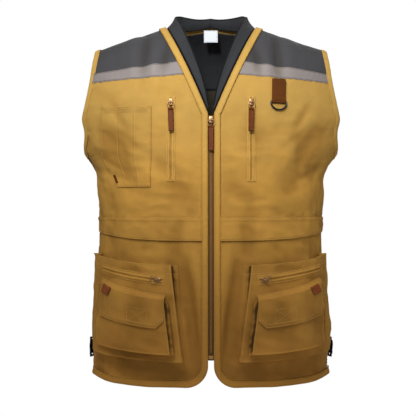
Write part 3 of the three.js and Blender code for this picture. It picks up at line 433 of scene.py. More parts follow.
    def stripe_foot(self, around: Array) -> Array:
        """Climb of the tape's lower edge."""
        x = np.abs(self.half_width(0.0) * sin_of(around))
        fall = np.where(cos_of(around) > 0, x, x**2 / self.half_chest)
        return self.climb_at(around, -self.stripe_drop - self.stripe_slope * fall)

    def back_neck(self, turn: Array, inset: Array) -> Place:
        """A place of the back neckline: turn is 0 at the middle of the back, 90 at a shoulder."""
        x = (self.neck_half + inset / math.cos(self.neck_slant)) * sin_of(turn)
        y = (self.neck_back + inset) * cos_of(turn)
        top = self.shoulder_climb
        around = 180 - np.degrees(np.arcsin(np.clip(x / self.half_width(top), -1, 1)))
        reach = self.back_depth * self.share(3, top) * np.abs(cos_of(around)) ** self.flatness
        return around, self.shoulder_radius * np.arccos(np.clip(y / reach, -1, 1))

    def frame_on(self, around: float, climb: float, lift: float, turn: float = 0.0) -> Matrix:
        """A frame that stands on the cloth: x across it, y up and z out of it.

        Args:
            around: Angle round the form.
            climb: Length up the cloth.
            lift: Height of the frame's origin.
            turn: Turn of the frame about its z axis.

        Returns:
            The frame as a matrix in millimetres.
        """
        reach, step = 1.5, 5.0

        def at(turned: float, risen: float) -> Array:
            """A point of the cloth beside the place."""
            return self.cloth(np.float64(around + turned), np.float64(climb + risen), lift, worn=False)

        across = unit(at(reach, 0) - at(-reach, 0))
        out = unit(np.cross(across, at(0, step) - at(0, -step)))
        up = np.cross(out, across)
        made = Matrix([(*row, 0.0) for row in np.stack([across, up, out], axis=1)] + [(0, 0, 0, 1)])
        made.translation = Vector(at(0, 0))
        return made @ Matrix.Rotation(math.radians(turn), 4, "Z")


FORM = TorsoForm()


def srgb(code: int) -> tuple[float, float, float]:
    """Linear colour of a hexadecimal sRGB code."""
    parts = [((code >> shift) & 255) / 255 for shift in (16, 8, 0)]
    return tuple(c / 12.92 if c <= 0.04045 else ((c + 0.055) / 1.055) ** 2.4 for c in parts)


def shaded(colour: Sequence[float], by: float) -> tuple[float, float, float, float]:
    """A colour made lighter or darker by a factor, with its alpha."""
    return (*(min(c * by, 1.0) for c in colour), 1.0)


SHADER_INPUTS = {
    "colour": "Base Color",
    "rough": "Roughness",
    "normal": "Normal",
    "metal": "Metallic",
    "shine": "Specular IOR Level",
    "sheen": "Sheen Weight",
    "sheen_rough": "Sheen Roughness",
    "sheen_tint": "Sheen Tint",
}
"""The shader's inputs by the short names that the finishes use."""


class Recipe:
    """A material's nodes while they are put together."""

    def __init__(self, name: str) -> None:
        """Starts a material with one shader."""
        self.material = bpy.data.materials.new(name)
        self.material.use_nodes = True
        self.tree = self.material.node_tree
        self.tree.nodes.clear()
        self.shader = self.add("ShaderNodeBsdfPrincipled")
        out = self.add("ShaderNodeOutputMaterial")
        self.tree.links.new(self.shader.outputs["BSDF"], out.inputs["Surface"])

    def add(self, kind: str, **settings: object) -> bpy.types.Node:
        """A new node with its settings."""
        made = self.tree.nodes.new(kind)
        for key, value in settings.items():
            setattr(made, key, value)
        return made

    def feed(self, made: bpy.types.Node, key: str | int, value: object) -> None:
        """Sets an input to a constant, or links it to an output."""
        if isinstance(value, bpy.types.NodeSocket):
            self.tree.links.new(value, made.inputs[key])
        else:
            made.inputs[key].default_value = value

    def object_place(self) -> bpy.types.NodeSocket:
        """The piece's own coordinates, in metres."""
        return self.add("ShaderNodeTexCoord").outputs["Object"]

    def cloth_place(self, scale: tuple[float, float, float] = (1, 1, 1)) -> bpy.types.NodeSocket:
        """The flat cloth's coordinates, in millimetres and stretched by a scale."""
        made = self.add("ShaderNodeMapping")
        self.feed(made, "Vector", self.add("ShaderNodeUVMap", uv_map="Cloth").outputs["UV"])
        made.inputs["Scale"].default_value = tuple(1000 * s for s in scale)
        return made.outputs["Vector"]

    def attribute(self, name: str) -> bpy.types.NodeSocket:
        """A number that the mesh carries at each vertex."""
        return self.add("ShaderNodeAttribute", attribute_name=name).outputs["Fac"]

    def noise(self, place: object, scale: float, detail: float = 3.0, rough: float = 0.55) -> object:
        """Cloudy noise from 0 to 1."""
        made = self.add("ShaderNodeTexNoise")
        self.feed(made, "Vector", place)
        self.feed(made, "Scale", scale)
        self.feed(made, "Detail", detail)
        self.feed(made, "Roughness", rough)
        return made.outputs["Fac"]

    def bands(self, place: object, period: float, way: str, warp: float = 0.0) -> object:
        """Even bands across one way, with a period in the place's own unit."""
        turn = 0.444 if way == "DIAGONAL" else 0.314
        made = self.add("ShaderNodeTexWave", wave_type="BANDS", bands_direction=way)
        self.feed(made, "Vector", place)
        self.feed(made, "Scale", turn / period)
        self.feed(made, "Distortion", warp)
        return made.outputs["Fac"]

    def math(self, kind: str, first: object, second: object = 0.0, third: object = 0.0) -> object:
        """A sum or other operation on numbers."""
        made = self.add("ShaderNodeMath", operation=kind)
        self.feed(made, 0, first)
        self.feed(made, 1, second)
        self.feed(made, 2, third)
        return made.outputs["Value"]

    def spread(self, value: object, low: float, high: float, to_low: float, to_high: float) -> object:
        """A number brought from one range to another, and kept in it."""
        made = self.add("ShaderNodeMapRange", clamp=True)
        for key, number in enumerate((value, low, high, to_low, to_high)):
            self.feed(made, key, number)
        return made.outputs["Result"]

    def mix(self, share: object, first: object, second: object, how: str = "MIX") -> object:
        """A mix of two colours."""
        made = self.add("ShaderNodeMix", data_type="RGBA", blend_type=how)
        self.feed(made, 0, share)
        self.feed(made, 6, first)
        self.feed(made, 7, second)
        return made.outputs[2]

    def tint(
        self, value: object, low: float, high: float, most: float, first: object, second: object
    ) -> object:
        """A colour mixed with a second one, the more of it the further a value is from low to high."""
        return self.mix(self.spread(value, low, high, 0.0, most), first, second)

    def show(self, **inputs: object) -> None:
        """Feeds the shader's inputs, by their short names."""
        for name, value in inputs.items():
            self.feed(self.shader, SHADER_INPUTS[name], value)

    def bump(self, height: object, strength: float, depth: float, over: object = None) -> object:
        """A normal that stands up with a height, in metres."""
        made = self.add("ShaderNodeBump")
        self.feed(made, "Height", height)
        self.feed(made, "Strength", strength)
        self.feed(made, "Distance", depth)
        if over is not None:
            self.feed(made, "Normal", over)
        return made.outputs["Normal"]

    def line(self, distance: object, middle: float, width: float) -> object:
        """A soft line of height 1 where a distance has a value."""
        off = self.math("ABSOLUTE", self.math("SUBTRACT", distance, middle))
        return self.spread(off, 0.0, width, 1.0, 0.0)


@dataclass(frozen=True)
class Finish:
    """A finish: its name, a material slot's name, its colour and how rough it is."""

    name: str
    slot: str
    colour: tuple[float, float, float]
    rough: float

    @cache
    def material(self) -> bpy.types.Material:
        """The finished material, made once."""
        recipe = Recipe(self.name)
        recipe.show(rough=self.rough)
        self.dress(recipe)
        return recipe.material

    def tone(self, by: float) -> tuple[float, float, float, float]:
        """The finish's colour made lighter or darker by a factor."""
        return shaded(self.colour, by)

    def dress(self, recipe: Recipe) -> None:
        """Adds the finish's own nodes."""
        raise NotImplementedError


@dataclass(frozen=True)
class Woven(Finish):
    """Woven cloth: threads, cloudy colour, worn edges, painted shade in stitch grooves and creases, painted
    highlight on ridges.
    """

    thread: float = 0.9
    relief: float = 0.35
    cloud: float = 0.1
    twill: bool = True
    sheen: float = 0.12
    grooves: tuple[float, ...] = (ROW,)
    worn: float = 1.16
    # Whether the colour gets painted light by height: a painted highlight on the chest, painted shade
    # towards the hem.
    painted_height_light: bool = False

    def dress(self, recipe: Recipe) -> None:
        """Adds the weave, the colour's clouds, painted shade and highlight on the creases, worn edges and
        painted shade in the stitch grooves.
        """
        place = recipe.object_place()
        flat = recipe.cloth_place()
        way = "DIAGONAL" if self.twill else "X"
        rows = recipe.bands(flat, self.thread, way, 0.6)
        picks = recipe.bands(flat, self.thread * 0.8, "Y", 0.5)
        slub = recipe.noise(recipe.cloth_place((0.35, 1.6, 1.0)), 1.1, 3.0, 0.6)
        cloud = recipe.noise(place, 11.0, 5.0, 0.62)
        speck = recipe.noise(place, 420.0, 2.0, 0.6)
        tone = recipe.tint(
            cloud, 0.32, 0.7, 1.0, self.tone(1 - self.cloud), self.tone(1 + self.cloud * 0.8)
        )
        tone = recipe.tint(slub, 0.35, 0.75, 0.35, tone, self.tone(0.82))
        tone = recipe.tint(speck, 0.3, 0.75, 0.22, tone, self.tone(1.25))
        # Painted highlight on the chest and painted shade towards the hem.
        if self.painted_height_light:
            tone = self.paint_height_light(recipe, tone)
        # Painted shade in the creases' hollows and a painted highlight on their ridges; the darkest painted
        # shadow fills the deepest slots.
        fold = recipe.attribute("fold")
        deep = tuple(c * k for c, k in zip(self.colour, (0.62, 0.55, 0.45), strict=True))
        tone = recipe.tint(fold, -0.1, -1.2, 0.62, tone, (*deep, 1.0))
        tone = recipe.tint(fold, 0.1, 1.2, 0.4, tone, self.tone(1.18))
        gloom = tuple(c * 0.12 for c in deep)
        tone = recipe.tint(fold, -1.3, -3.0, 0.9, tone, (*gloom, 1.0))
        rim = recipe.attribute("rim")
        abrasion = recipe.spread(recipe.noise(place, 90.0, 3.0), 0.35, 0.62, 0.15, 0.8)
        edge = recipe.math("MULTIPLY", recipe.spread(rim, 0.0, 0.0016, 1.0, 0.0), abrasion)
        tone = recipe.mix(edge, tone, self.tone(self.worn))
        # Painted shade along each row of stitches, in its groove.
        groove: object = 0.0
        for inset in self.grooves:
            groove = recipe.math("ADD", groove, recipe.line(rim, inset * MM, 0.0011))
        tone = recipe.mix(recipe.math("MULTIPLY", groove, 0.42), tone, (*deep, 1.0))
        rough = recipe.spread(cloud, 0.2, 0.8, self.rough - 0.06, self.rough + 0.06)
        recipe.show(colour=tone, rough=rough, shine=0.22)
        recipe.show(sheen=self.sheen, sheen_rough=0.55, sheen_tint=self.tone(1.5))
        weave = recipe.math("ADD", recipe.math("MULTIPLY", rows, 0.6), recipe.math("MULTIPLY", picks, 0.4))
        weave = recipe.math("ADD", weave, recipe.math("MULTIPLY", slub, 0.9))
        dents = recipe.noise(place, 75.0, 4.0, 0.6)
        made = recipe.bump(weave, self.relief, 0.0003)
        made = recipe.bump(dents, 0.35, 0.0016, made)
        recipe.show(normal=recipe.bump(recipe.math("SUBTRACT", 1.0, groove), 0.6, 0.0005, made))

    def paint_height_light(self, recipe: Recipe, tone: object) -> object:
        """Paints a highlight on the chest and shade towards the hem: lighter and paler above, darker below.

        Args:
            recipe: The material's nodes.
            tone: The cloth's colour so far.

        Returns:
            The colour with its painted highlight and painted shade.
        """
        height = recipe.add("ShaderNodeSeparateXYZ")
        recipe.feed(height, "Vector", recipe.object_place())
        up = height.outputs["Z"]
        # Painted highlight: the chest lighter and paler.
        pale = recipe.mix(1.0, tone, (1.0, 1.13, 1.45, 1.0), "MULTIPLY")
        tone = recipe.tint(up, -0.32, -0.17, 1.0, tone, pale)
        # Painted shade: darker towards the hem.
        dark = recipe.mix(1.0, tone, (0.95, 0.83, 0.82, 1.0), "MULTIPLY")
        return recipe.tint(up, -0.36, -0.62, 1.0, tone, dark)


@dataclass(frozen=True)
class RibKnit(Finish):
    """Fine rib knit whose ribs run from the seam to the free edge."""

    rib: float = 2.4

    def dress(self, recipe: Recipe) -> None:
        """Adds ribs, loops, a soft fuzz and painted shadow along its edges."""
        place = recipe.object_place()
        flat = recipe.cloth_place()
        ribs = recipe.bands(flat, self.rib, "X", 0.35)
        loops = recipe.bands(flat, 1.1, "Y", 0.8)
        cloud = recipe.noise(place, 16.0, 5.0, 0.6)
        tone = recipe.tint(ribs, 0.0, 0.6, 1.0, self.tone(0.5), self.tone(1.15))
        tone = recipe.tint(cloud, 0.35, 0.7, 0.3, tone, self.tone(1.6))
        rim = recipe.attribute("rim")
        # Painted shadow: near black within a few millimetres of the free edge and of the seam, where the
        # collar turns in and meets the band.
        tone = recipe.mix(recipe.spread(rim, 0.0016, 0.0036, 0.92, 0.0), tone, self.tone(0.08))
        rough = recipe.spread(cloud, 0.2, 0.8, self.rough - 0.08, self.rough)
        made = recipe.bump(loops, 0.35, 0.00025, recipe.bump(ribs, 0.8, 0.0007))
        recipe.show(colour=tone, rough=rough, sheen=0.03, sheen_rough=0.5, shine=0.12, normal=made)


@dataclass(frozen=True)
class Webbing(Finish):
    """Close woven strap with a chevron of threads and lighter edges."""

    thread: float = 1.5

    def dress(self, recipe: Recipe) -> None:
        """Adds ridges across the strap, clouds and rubbed edges."""
        place = recipe.object_place()
        flat = recipe.cloth_place()
        ridges = recipe.bands(flat, self.thread, "Y", 0.7)
        threads = recipe.bands(flat, self.thread * 1.2, "X", 0.4)
        cloud = recipe.noise(place, 60.0, 4.0, 0.6)
        tone = recipe.tint(ridges, 0.1, 0.8, 1.0, self.tone(0.72), self.tone(1.1))
        tone = recipe.tint(cloud, 0.4, 0.75, 0.4, tone, self.tone(1.4))
        rim = recipe.attribute("rim")
        tone = recipe.mix(recipe.spread(rim, 0.0, 0.0012, 0.5, 0.0), tone, self.tone(1.5))
        rough = recipe.spread(cloud, 0.2, 0.8, self.rough - 0.1, self.rough + 0.05)
        made = recipe.bump(recipe.math("ADD", ridges, recipe.math("MULTIPLY", threads, 0.5)), 0.6, 0.0005)
        recipe.show(colour=tone, rough=rough, shine=0.12, normal=made)


@dataclass(frozen=True)
class Leather(Finish):
    """Smooth leather with a fine grain, darker cut edges and rubbed high places."""

    def dress(self, recipe: Recipe) -> None:
        """Adds grain, wrinkles, clouds and edges."""
        place = recipe.object_place()
        cells = recipe.add("ShaderNodeTexVoronoi", feature="SMOOTH_F1")
        recipe.feed(cells, "Vector", place)
        recipe.feed(cells, "Scale", 1100.0)
        cloud = recipe.noise(place, 130.0, 5.0, 0.62)
        wrinkle = recipe.noise(place, 480.0, 3.0, 0.6)
        tone = recipe.tint(cloud, 0.3, 0.72, 1.0, self.tone(0.72), self.tone(1.22))
        tone = recipe.tint(wrinkle, 0.5, 0.8, 0.5, tone, self.tone(0.6))
        rim = recipe.attribute("rim")
        tone = recipe.mix(recipe.spread(rim, 0.0, 0.001, 0.7, 0.0), tone, self.tone(0.35))
        rough = recipe.spread(cloud, 0.2, 0.8, self.rough - 0.12, self.rough + 0.1)
        made = recipe.bump(wrinkle, 0.3, 0.0003, recipe.bump(cells.outputs["Distance"], 0.35, 0.0002))
        recipe.show(colour=tone, rough=rough, shine=0.15, normal=made)


@dataclass(frozen=True)
class Metal(Finish):
    """Plated metal with fine scratches and a little tarnish in its clouds."""

    tarnish: float = 0.55

    def dress(self, recipe: Recipe) -> None:
        """Adds scratches, tarnish and a fine bump."""
        place = recipe.object_place()
        cloud = recipe.noise(place, 260.0, 4.0, 0.6)
        scratch = recipe.noise(place, 1400.0, 2.0, 0.7)
        tone = recipe.tint(cloud, 0.45, 0.8, 0.7, self.tone(1.0), self.tone(self.tarnish))
        rough = recipe.spread(scratch, 0.3, 0.75, self.rough, self.rough + 0.2)
        recipe.show(colour=tone, metal=1.0, rough=rough, normal=recipe.bump(cloud, 0.15, 0.0002))


@dataclass(frozen=True)
class Plain(Finish):
    """Moulded or spun stuff with a fine mottle: coil, thread or plastic."""

    mottle: float = 0.25
    grain: float = 900.0

    def dress(self, recipe: Recipe) -> None:
        """Adds a mottle and a fine bump."""
        place = recipe.object_place()
        cloud = recipe.noise(place, self.grain, 3.0, 0.6)
        tone = recipe.tint(cloud, 0.3, 0.7, 1.0, self.tone(1 - self.mottle), self.tone(1 + self.mottle))
        rough = recipe.spread(cloud, 0.2, 0.8, self.rough - 0.1, self.rough + 0.1)
        recipe.show(colour=tone, rough=rough, normal=recipe.bump(cloud, 0.2, 0.0002))


# The canvas colour gets a painted highlight on the chest and painted shade towards the hem.
CANVAS = Woven("ochre_canvas", "canvas", srgb(0xB5873A), 0.84, cloud=0.14, painted_height_light=True)
CANVAS_TRIM = Woven("ochre_canvas_trim", "canvas", srgb(0xBC8E3E), 0.84, cloud=0.14, worn=1.3, painted_height_light=True)
YOKE = Woven("dark_grey_twill", "yoke_cloth", srgb(0x403F41), 0.82, thread=0.8, cloud=0.07, worn=1.1)
TAPE = Woven(
    "light_grey_tape", "grey_tape", srgb(0x837B78), 0.5, thread=0.6, relief=0.15, cloud=0.06, twill=False
)
LINING_BLACK = Woven(
    "black_lining", "lining", srgb(0x2A2B2E), 0.7, thread=0.6, relief=0.15, cloud=0.2, twill=False
)
# The canvas's inside, painted as it looks in shade: a dark olive copy of the ochre canvas.
SHADED_CANVAS_INSIDE = Woven("canvas_inside_painted_shade", "lining", srgb(0x3A3428), 0.85, thread=0.8, cloud=0.15)
LABEL = Woven(
    "white_satin", "label", srgb(0xD6DCE3), 0.6, thread=0.5, relief=0.15, cloud=0.02, worn=1.0,
    grooves=(1.6,)
)
ZIP_TAPE = Woven(
    "brown_zip_tape", "zip_tape", srgb(0x6A4A24), 0.8, thread=0.7, cloud=0.1, twill=False, worn=1.3
)
RIB = RibKnit("charcoal_rib", "rib_knit", srgb(0x36373A), 0.86)
BROWN_STRAP = Webbing("brown_webbing", "brown_webbing", srgb(0x5C330F), 0.8)
NAVY_STRAP = Webbing("navy_webbing", "dark_webbing", srgb(0x1C2332), 0.7)
LEATHER = Leather("brown_leather", "leather", srgb(0x642E06), 0.55)
LEATHER_PATCH = Leather("brown_patch", "leather", srgb(0x9A5228), 0.55)
BRASS = Metal("pale_brass", "brass", srgb(0xAE8860), 0.34)
STEEL = Metal("dark_steel", "dark_steel", srgb(0x33373D), 0.3, tarnish=0.6)
COIL = Plain("zip_coil", "zip_tape", srgb(0xAA7E42), 0.45)
THREAD = Plain("ochre_thread", "canvas", srgb(0xD0A557), 0.65, grain=1500.0)
DARK_THREAD = Plain("grey_thread", "yoke_cloth", srgb(0x3C3B42), 0.65, grain=1500.0)
BROWN_THREAD = Plain("brown_thread", "leather", srgb(0x5A2D18), 0.6, grain=1500.0)
WHITE_THREAD = Plain("white_thread", "label", srgb(0xE8E8E6), 0.6, grain=1500.0, mottle=0.08)
PLASTIC = Plain("navy_plastic", "buckle_plastic", srgb(0x151B27), 0.42, grain=500.0)


class Side(Enum):
    """The four sides of a piece of cloth, seen from its face."""

    LEFT = "left"
    RIGHT = "right"
    BOTTOM = "bottom"
    TOP = "top"


ALL_SIDES = (Side.LEFT, Side.RIGHT, Side.BOTTOM, Side.TOP)


@dataclass(frozen=True)
class Seam:
    """How the sides of a piece are sewn: rolled edge, stitch rows and puckers."""

    sides: tuple[Side, ...] = ALL_SIDES
    rows: tuple[float, ...] = (ROW,)
    roll: float = 0.8
    groove: float = 0.3
    pucker: float = 0.3
    reach: float = 7.0


@dataclass
class ClothGrid:
    """A net of points over a piece of cloth, with lengths along it."""

    points: Array
    normals: Array = field(init=False)
    across: Array = field(init=False)
    up: Array = field(init=False)

    def __post_init__(self) -> None:
        """Measures the net."""
        self.measure()

    def measure(self) -> None:
        """Works out the normals and the lengths along rows and columns."""
        du = np.gradient(self.points, axis=1)
        dv = np.gradient(self.points, axis=0)
        self.normals = unit(np.cross(du, dv))
        self.across = self.lengths(1)
        self.up = self.lengths(0)

    def lengths(self, axis: int) -> Array:
        """Length from the first point along an axis of the net."""
        steps = np.linalg.norm(np.diff(self.points, axis=axis), axis=-1)
        start = np.zeros_like(np.take(steps, [0], axis=axis))
        return np.concatenate([start, np.cumsum(steps, axis=axis)], axis=axis)

    def turned(self) -> "ClothGrid":
        """The same net seen from its other face."""
        return ClothGrid(self.points[:, ::-1].copy())

    def mirrored(self) -> "ClothGrid":
        """The same net on the wearer's other side."""
        return ClothGrid((self.points * (-1, 1, 1))[:, ::-1].copy())

    def rim(self, side: Side) -> Array:
        """Distance of each point from a side."""
        if side is Side.LEFT:
            return self.across
        if side is Side.RIGHT:
            return self.across[:, -1:] - self.across
        if side is Side.BOTTOM:
            return self.up
        return self.up[-1:] - self.up

    def beside(self, side: Side) -> Array:
        """Distance of each point along a side."""
        return self.up if side in (Side.LEFT, Side.RIGHT) else self.across

    def sewn(self, seam: Seam) -> "ClothGrid":
        """The net with its edges rolled, its stitch rows drawn in and its seams puckered.

        Args:
            seam: How the sides are sewn.

        Returns:
            A net with the same lengths.
        """
        lift = np.zeros(self.points.shape[:2])
        for side in seam.sides:
            far = self.rim(side)
            if seam.roll:
                inside = np.clip(1 - far / seam.roll, 0, 1)
                lift = lift - seam.roll * 0.7 * (1 - np.sqrt(np.maximum(1 - inside**2, 0)))
            for row in seam.rows:
                lift = lift - seam.groove * bell(far, row, 1.0)
            along = self.beside(side) + self.points[0, 0, 2] * 3.1 + self.points[0, 0, 0]
            waves = PUCKER_WAVES.at(along, far * 0.45)
            lift = lift + seam.pucker * waves * np.exp(-far / seam.reach) * np.minimum(far / 1.5, 1)
        return ClothGrid(self.points + self.normals * lift[..., None])

    def row(self, side: Side, inset: float, start: float = 0.0, stop: float = 1.0) -> tuple[Array, Array]:
        """A line at an inset from a side.

        Args:
            side: The side that it follows.
            inset: Its distance from that side.
            start: Share of the side where it starts.
            stop: Share of the side where it stops.

        Returns:
            The line's points and their normals.
        """
        points, normals, far = self.points, self.normals, self.rim(side)
        if side in (Side.LEFT, Side.RIGHT):
            points, normals, far = points.swapaxes(0, 1), normals.swapaxes(0, 1), far.T
        if side in (Side.RIGHT, Side.TOP):
            points, normals, far = points[::-1], normals[::-1], far[::-1]
        count = far.shape[1]
        made, ways = [], []
        for k in range(round(start * (count - 1)), round(stop * (count - 1)) + 1):
            i = int(np.clip(np.searchsorted(far[:, k], inset), 1, far.shape[0] - 1))
            t = np.clip((inset - far[i - 1, k]) / max(far[i, k] - far[i - 1, k], 1e-6), 0, 1)
            made.append(lerp(points[i - 1, k], points[i, k], t))
            ways.append(lerp(normals[i - 1, k], normals[i, k], t))
        return np.array(made), unit(np.array(ways))

    def chord(
        self, start: tuple[float, float], stop: tuple[float, float], steps: int = 24
    ) -> tuple[Array, Array]:
        """A straight line on the cloth between two shares of its width and height."""
        shares = np.linspace(0, 1, steps + 1)
        u = lerp(start[0], stop[0], shares) * (self.points.shape[1] - 1)
        v = lerp(start[1], stop[1], shares) * (self.points.shape[0] - 1)
        i = np.clip(u.astype(int), 0, self.points.shape[1] - 2)
        j = np.clip(v.astype(int), 0, self.points.shape[0] - 2)
        s, t = (u - i)[:, None], (v - j)[:, None]

        def blend(table: Array) -> Array:
            """The table's value between four neighbours."""
            low = lerp(table[j, i], table[j, i + 1], s)
            high = lerp(table[j + 1, i], table[j + 1, i + 1], s)
            return lerp(low, high, t)

        return blend(self.points), unit(blend(self.normals))


def shares(count: int, length: float, lips: Sequence[float] = ()) -> Array:
    """Shares of a side, even but with some more near both ends.

    Args:
        count: How many even steps there are.
        length: Length of the side.
        lips: Distances from each end that get a line of their own.

    Returns:
        Rising shares from 0 to 1.
    """
    even = np.linspace(0, 1, count + 1)
    near = np.array([lip / length for lip in lips if lip < length * 0.45])
    wanted = np.unique(np.concatenate([[0, 1], near, 1 - near]))
    free = [s for s in even if np.abs(wanted - s).min() > 0.35 / count]
    return np.sort(np.concatenate([wanted, free]))


LIPS = (0.3, 0.8, 1.3, 2.2, 3.2, 5.0)
NARROW_LIPS = (0.3, 0.9, 2.0)
"""Distances from an edge that get a line of the net, on wide cloth and on straps."""


def net(surface: Surface, us: Array, vs: Array) -> ClothGrid:
    """A net over a surface at given shares across and up."""
    u, v = np.meshgrid(us, vs)
    return ClothGrid(surface(u, v))


def name_side(side: int) -> str:
    """The wearer's side as a word."""
    return "left" if side > 0 else "right"


def mesh_of(name: str, shape: bmesh.types.BMesh) -> bpy.types.Mesh:
    """A mesh made from a shape, which is freed."""
    mesh = bpy.data.meshes.new(name)
    shape.to_mesh(mesh)
    shape.free()
    return mesh


def add_shape(whole: bmesh.types.BMesh, part: bmesh.types.BMesh) -> None:
    """Adds a shape to another and frees it."""
    mesh = mesh_of("part", part)
    whole.from_mesh(mesh)
    bpy.data.meshes.remove(mesh)


@dataclass
class Tailor:
    """Makes pieces of cloth and hard trims, and rides and reports each one."""

    count: int = 0

    def finish(
        self, piece: bpy.types.Object, finishes: Sequence[Finish], nodes: Sequence[str], body: str = "vest"
    ) -> bpy.types.Object:
        """Gives a piece its materials and its body, and reports it.

        Args:
            piece: The piece.
            finishes: Its finishes, one for each material slot.
            nodes: The solids of the frame that it stands for.
            body: The body that it rides on.

        Returns:
            The same piece.
        """
        for made in finishes:
            piece.data.materials.append(made.material())
        piece.data.polygons.foreach_set("use_smooth", np.ones(len(piece.data.polygons), dtype=bool))
        bpy.context.scene.collection.objects.link(piece)
        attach(piece, body)
        if nodes:
            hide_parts(*nodes)
        self.count += 1
        LOG.info("%s on %s: %d vertices", piece.name, body, len(piece.data.vertices))
        return piece

    def cloth(
        self, name: str, grid: ClothGrid, finishes: Sequence[Finish], nodes: Sequence[str] = (), *,
        thick: float = 1.6, offset: float = -1.0, seam: Seam | None = None, held: str | None = "stretched",
        rests_on: Sequence[str] = (), body: str = "vest", smooth: int = 0, fold: Array | None = None
    ) -> ClothGrid:
        """Makes a piece of cloth from a net.

        Args:
            name: The piece's name.
            grid: Its net, whose face is the outer one.
            finishes: Its finish, and the finish of its inner face if that differs.
            nodes: The solids that it stands for.
            thick: Thickness of the cloth.
            offset: -1 to thicken inwards, 0 for both ways.
            seam: How its sides are sewn.
            held: How the cloth is held, or None if it isn't a sheet; not used.
            rests_on: What it lies on; not used.
            body: The body that it rides on.
            smooth: Levels of subdivision.
            fold: How far each point stands out of its surroundings, from -1 to 1; woven finishes paint
                shade in its hollows and a highlight on its ridges.

        Returns:
            The sewn net, for stitches and trims.
        """
        shape = grid.sewn(seam) if seam else grid
        rows, cols = shape.points.shape[0] - 1, shape.points.shape[1] - 1
        bm = bmesh.new()
        bmesh.ops.create_grid(bm, x_segments=cols, y_segments=rows, size=0.5)
        mesh = mesh_of(name, bm)
        mesh.vertices.foreach_set("co", (shape.points * MM).ravel())
        corners = np.empty(len(mesh.loops), dtype=np.int32)
        mesh.loops.foreach_get("vertex_index", corners)
        middle = grid.across[:, -1:] / 2
        flat = np.stack([grid.across - middle, grid.up], axis=-1).reshape(-1, 2) * MM
        mesh.uv_layers.new(name="Cloth").data.foreach_set("uv", flat[corners].ravel())
        sides = seam.sides if seam else ALL_SIDES
        rim = np.min([grid.rim(side) for side in sides], axis=0) if sides else np.full(grid.up.shape, 50.0)
        mesh.attributes.new("rim", "FLOAT", "POINT").data.foreach_set("value", (rim * MM).ravel())
        # The fold attribute carries the painted shade of hollows and the painted highlight of ridges.
        hollow = np.zeros(grid.up.shape) if fold is None else fold
        mesh.attributes.new("fold", "FLOAT", "POINT").data.foreach_set("value", hollow.ravel())
        mesh.update()
        piece = bpy.data.objects.new(name, mesh)
        wall = piece.modifiers.new("wall", "SOLIDIFY")
        wall.thickness = thick * MM
        wall.offset = offset
        if len(finishes) > 1:
            wall.material_offset = 1
        if smooth:
            soft = piece.modifiers.new("soft", "SUBSURF")
            soft.levels = soft.render_levels = smooth
        self.finish(piece, finishes, nodes, body)
        if held:
            list(rests_on)
        return shape

    def solid(
        self, name: str, bm: bmesh.types.BMesh, finishes: Sequence[Finish], nodes: Sequence[str] = (), *,
        at: Matrix | None = None, side: int = 1, body: str = "vest"
    ) -> bpy.types.Object:
        """Makes a hard piece from a shape in its own frame.

        Args:
            name: The piece's name.
            bm: The shape, in millimetres.
            finishes: Its finishes.
            nodes: The solids that it stands for.
            at: The frame that it stands in.
            side: 1 for the wearer's left, -1 for the same piece mirrored.
            body: The body that it rides on.

        Returns:
            The piece.
        """
        if at is not None:
            bmesh.ops.transform(bm, matrix=at, verts=bm.verts)
        if side < 0:
            bmesh.ops.scale(bm, vec=(-1, 1, 1), verts=bm.verts)
            bmesh.ops.reverse_faces(bm, faces=bm.faces)
        bmesh.ops.scale(bm, vec=(MM, MM, MM), verts=bm.verts)
        return self.finish(bpy.data.objects.new(name, mesh_of(name, bm)), finishes, nodes, body)


@dataclass
class Stitching:
    """Rows of stitches or teeth, each a small bead laid along a line."""

    pitch: float = 3.3
    length: float = 2.5
    wide: float = 0.85
    high: float = 0.5
    rise: float = 0.14
    beads: list[tuple[Array, Array, Array]] = field(default_factory=list)

    def along(self, line: tuple[Array, Array], shift: float = 0.0) -> "Stitching":
        """Lays beads along a line.

        Args:
            line: Points and their normals.
            shift: How far the row is moved aside.

        Returns:
            The stitching itself.
        """
        points, normals = line
        run = run_of(points)
        if run[-1] < self.pitch:
            return self
        count = max(int(run[-1] / self.pitch), 1)
        at = (np.arange(count) + 0.5) * run[-1] / count
        out = unit(rows_at(at, run, normals))
        step = self.length / 2
        way = unit(rows_at(at + step, run, points) - rows_at(at - step, run, points))
        aside = unit(np.cross(out, way))
        self.beads.append((rows_at(at, run, points) + out * self.rise + aside * shift, way, out))
        return self

    def edges(self, made: ClothGrid, inset: float, *sides: Side) -> "Stitching":
        """Lays beads at an inset from sides of a net.

        Args:
            made: The net.
            inset: Distance from each side.
            sides: The sides, or none for all four.

        Returns:
            The stitching itself.
        """
        for side in sides or ALL_SIDES:
            self.along(made.row(side, inset))
        return self

    def make(
        self, tailor: Tailor, name: str, finish: Finish, nodes: Sequence[str] = (), body: str = "vest",
        across: bool = False
    ) -> None:
        """Makes one piece of all the rows.

        Args:
            tailor: The maker of pieces.
            name: The piece's name.
            finish: Its finish.
            nodes: The solids that it stands for.
            body: The body that it rides on.
            across: Whether the beads lie across the rows, as teeth do.
        """
        whole = bmesh.new()
        for here, way, out in self.beads:
            row = bmesh.new()
            for p, t, n in zip(here, way, out, strict=True):
                b = np.cross(n, t)
                long, side = (b, t) if across else (t, b)
                axes = np.stack([long * self.length / 2, side * self.wide / 2, n * self.high / 2], axis=1)
                if np.linalg.det(axes) < 0:
                    axes[:, 1] *= -1
                place = Matrix([(*r, c) for r, c in zip(axes, p, strict=True)] + [(0, 0, 0, 1)])
                bmesh.ops.create_icosphere(row, subdivisions=1, radius=1.0, matrix=place)
            add_shape(whole, row)
        tailor.solid(name, whole, [finish], nodes, body=body)


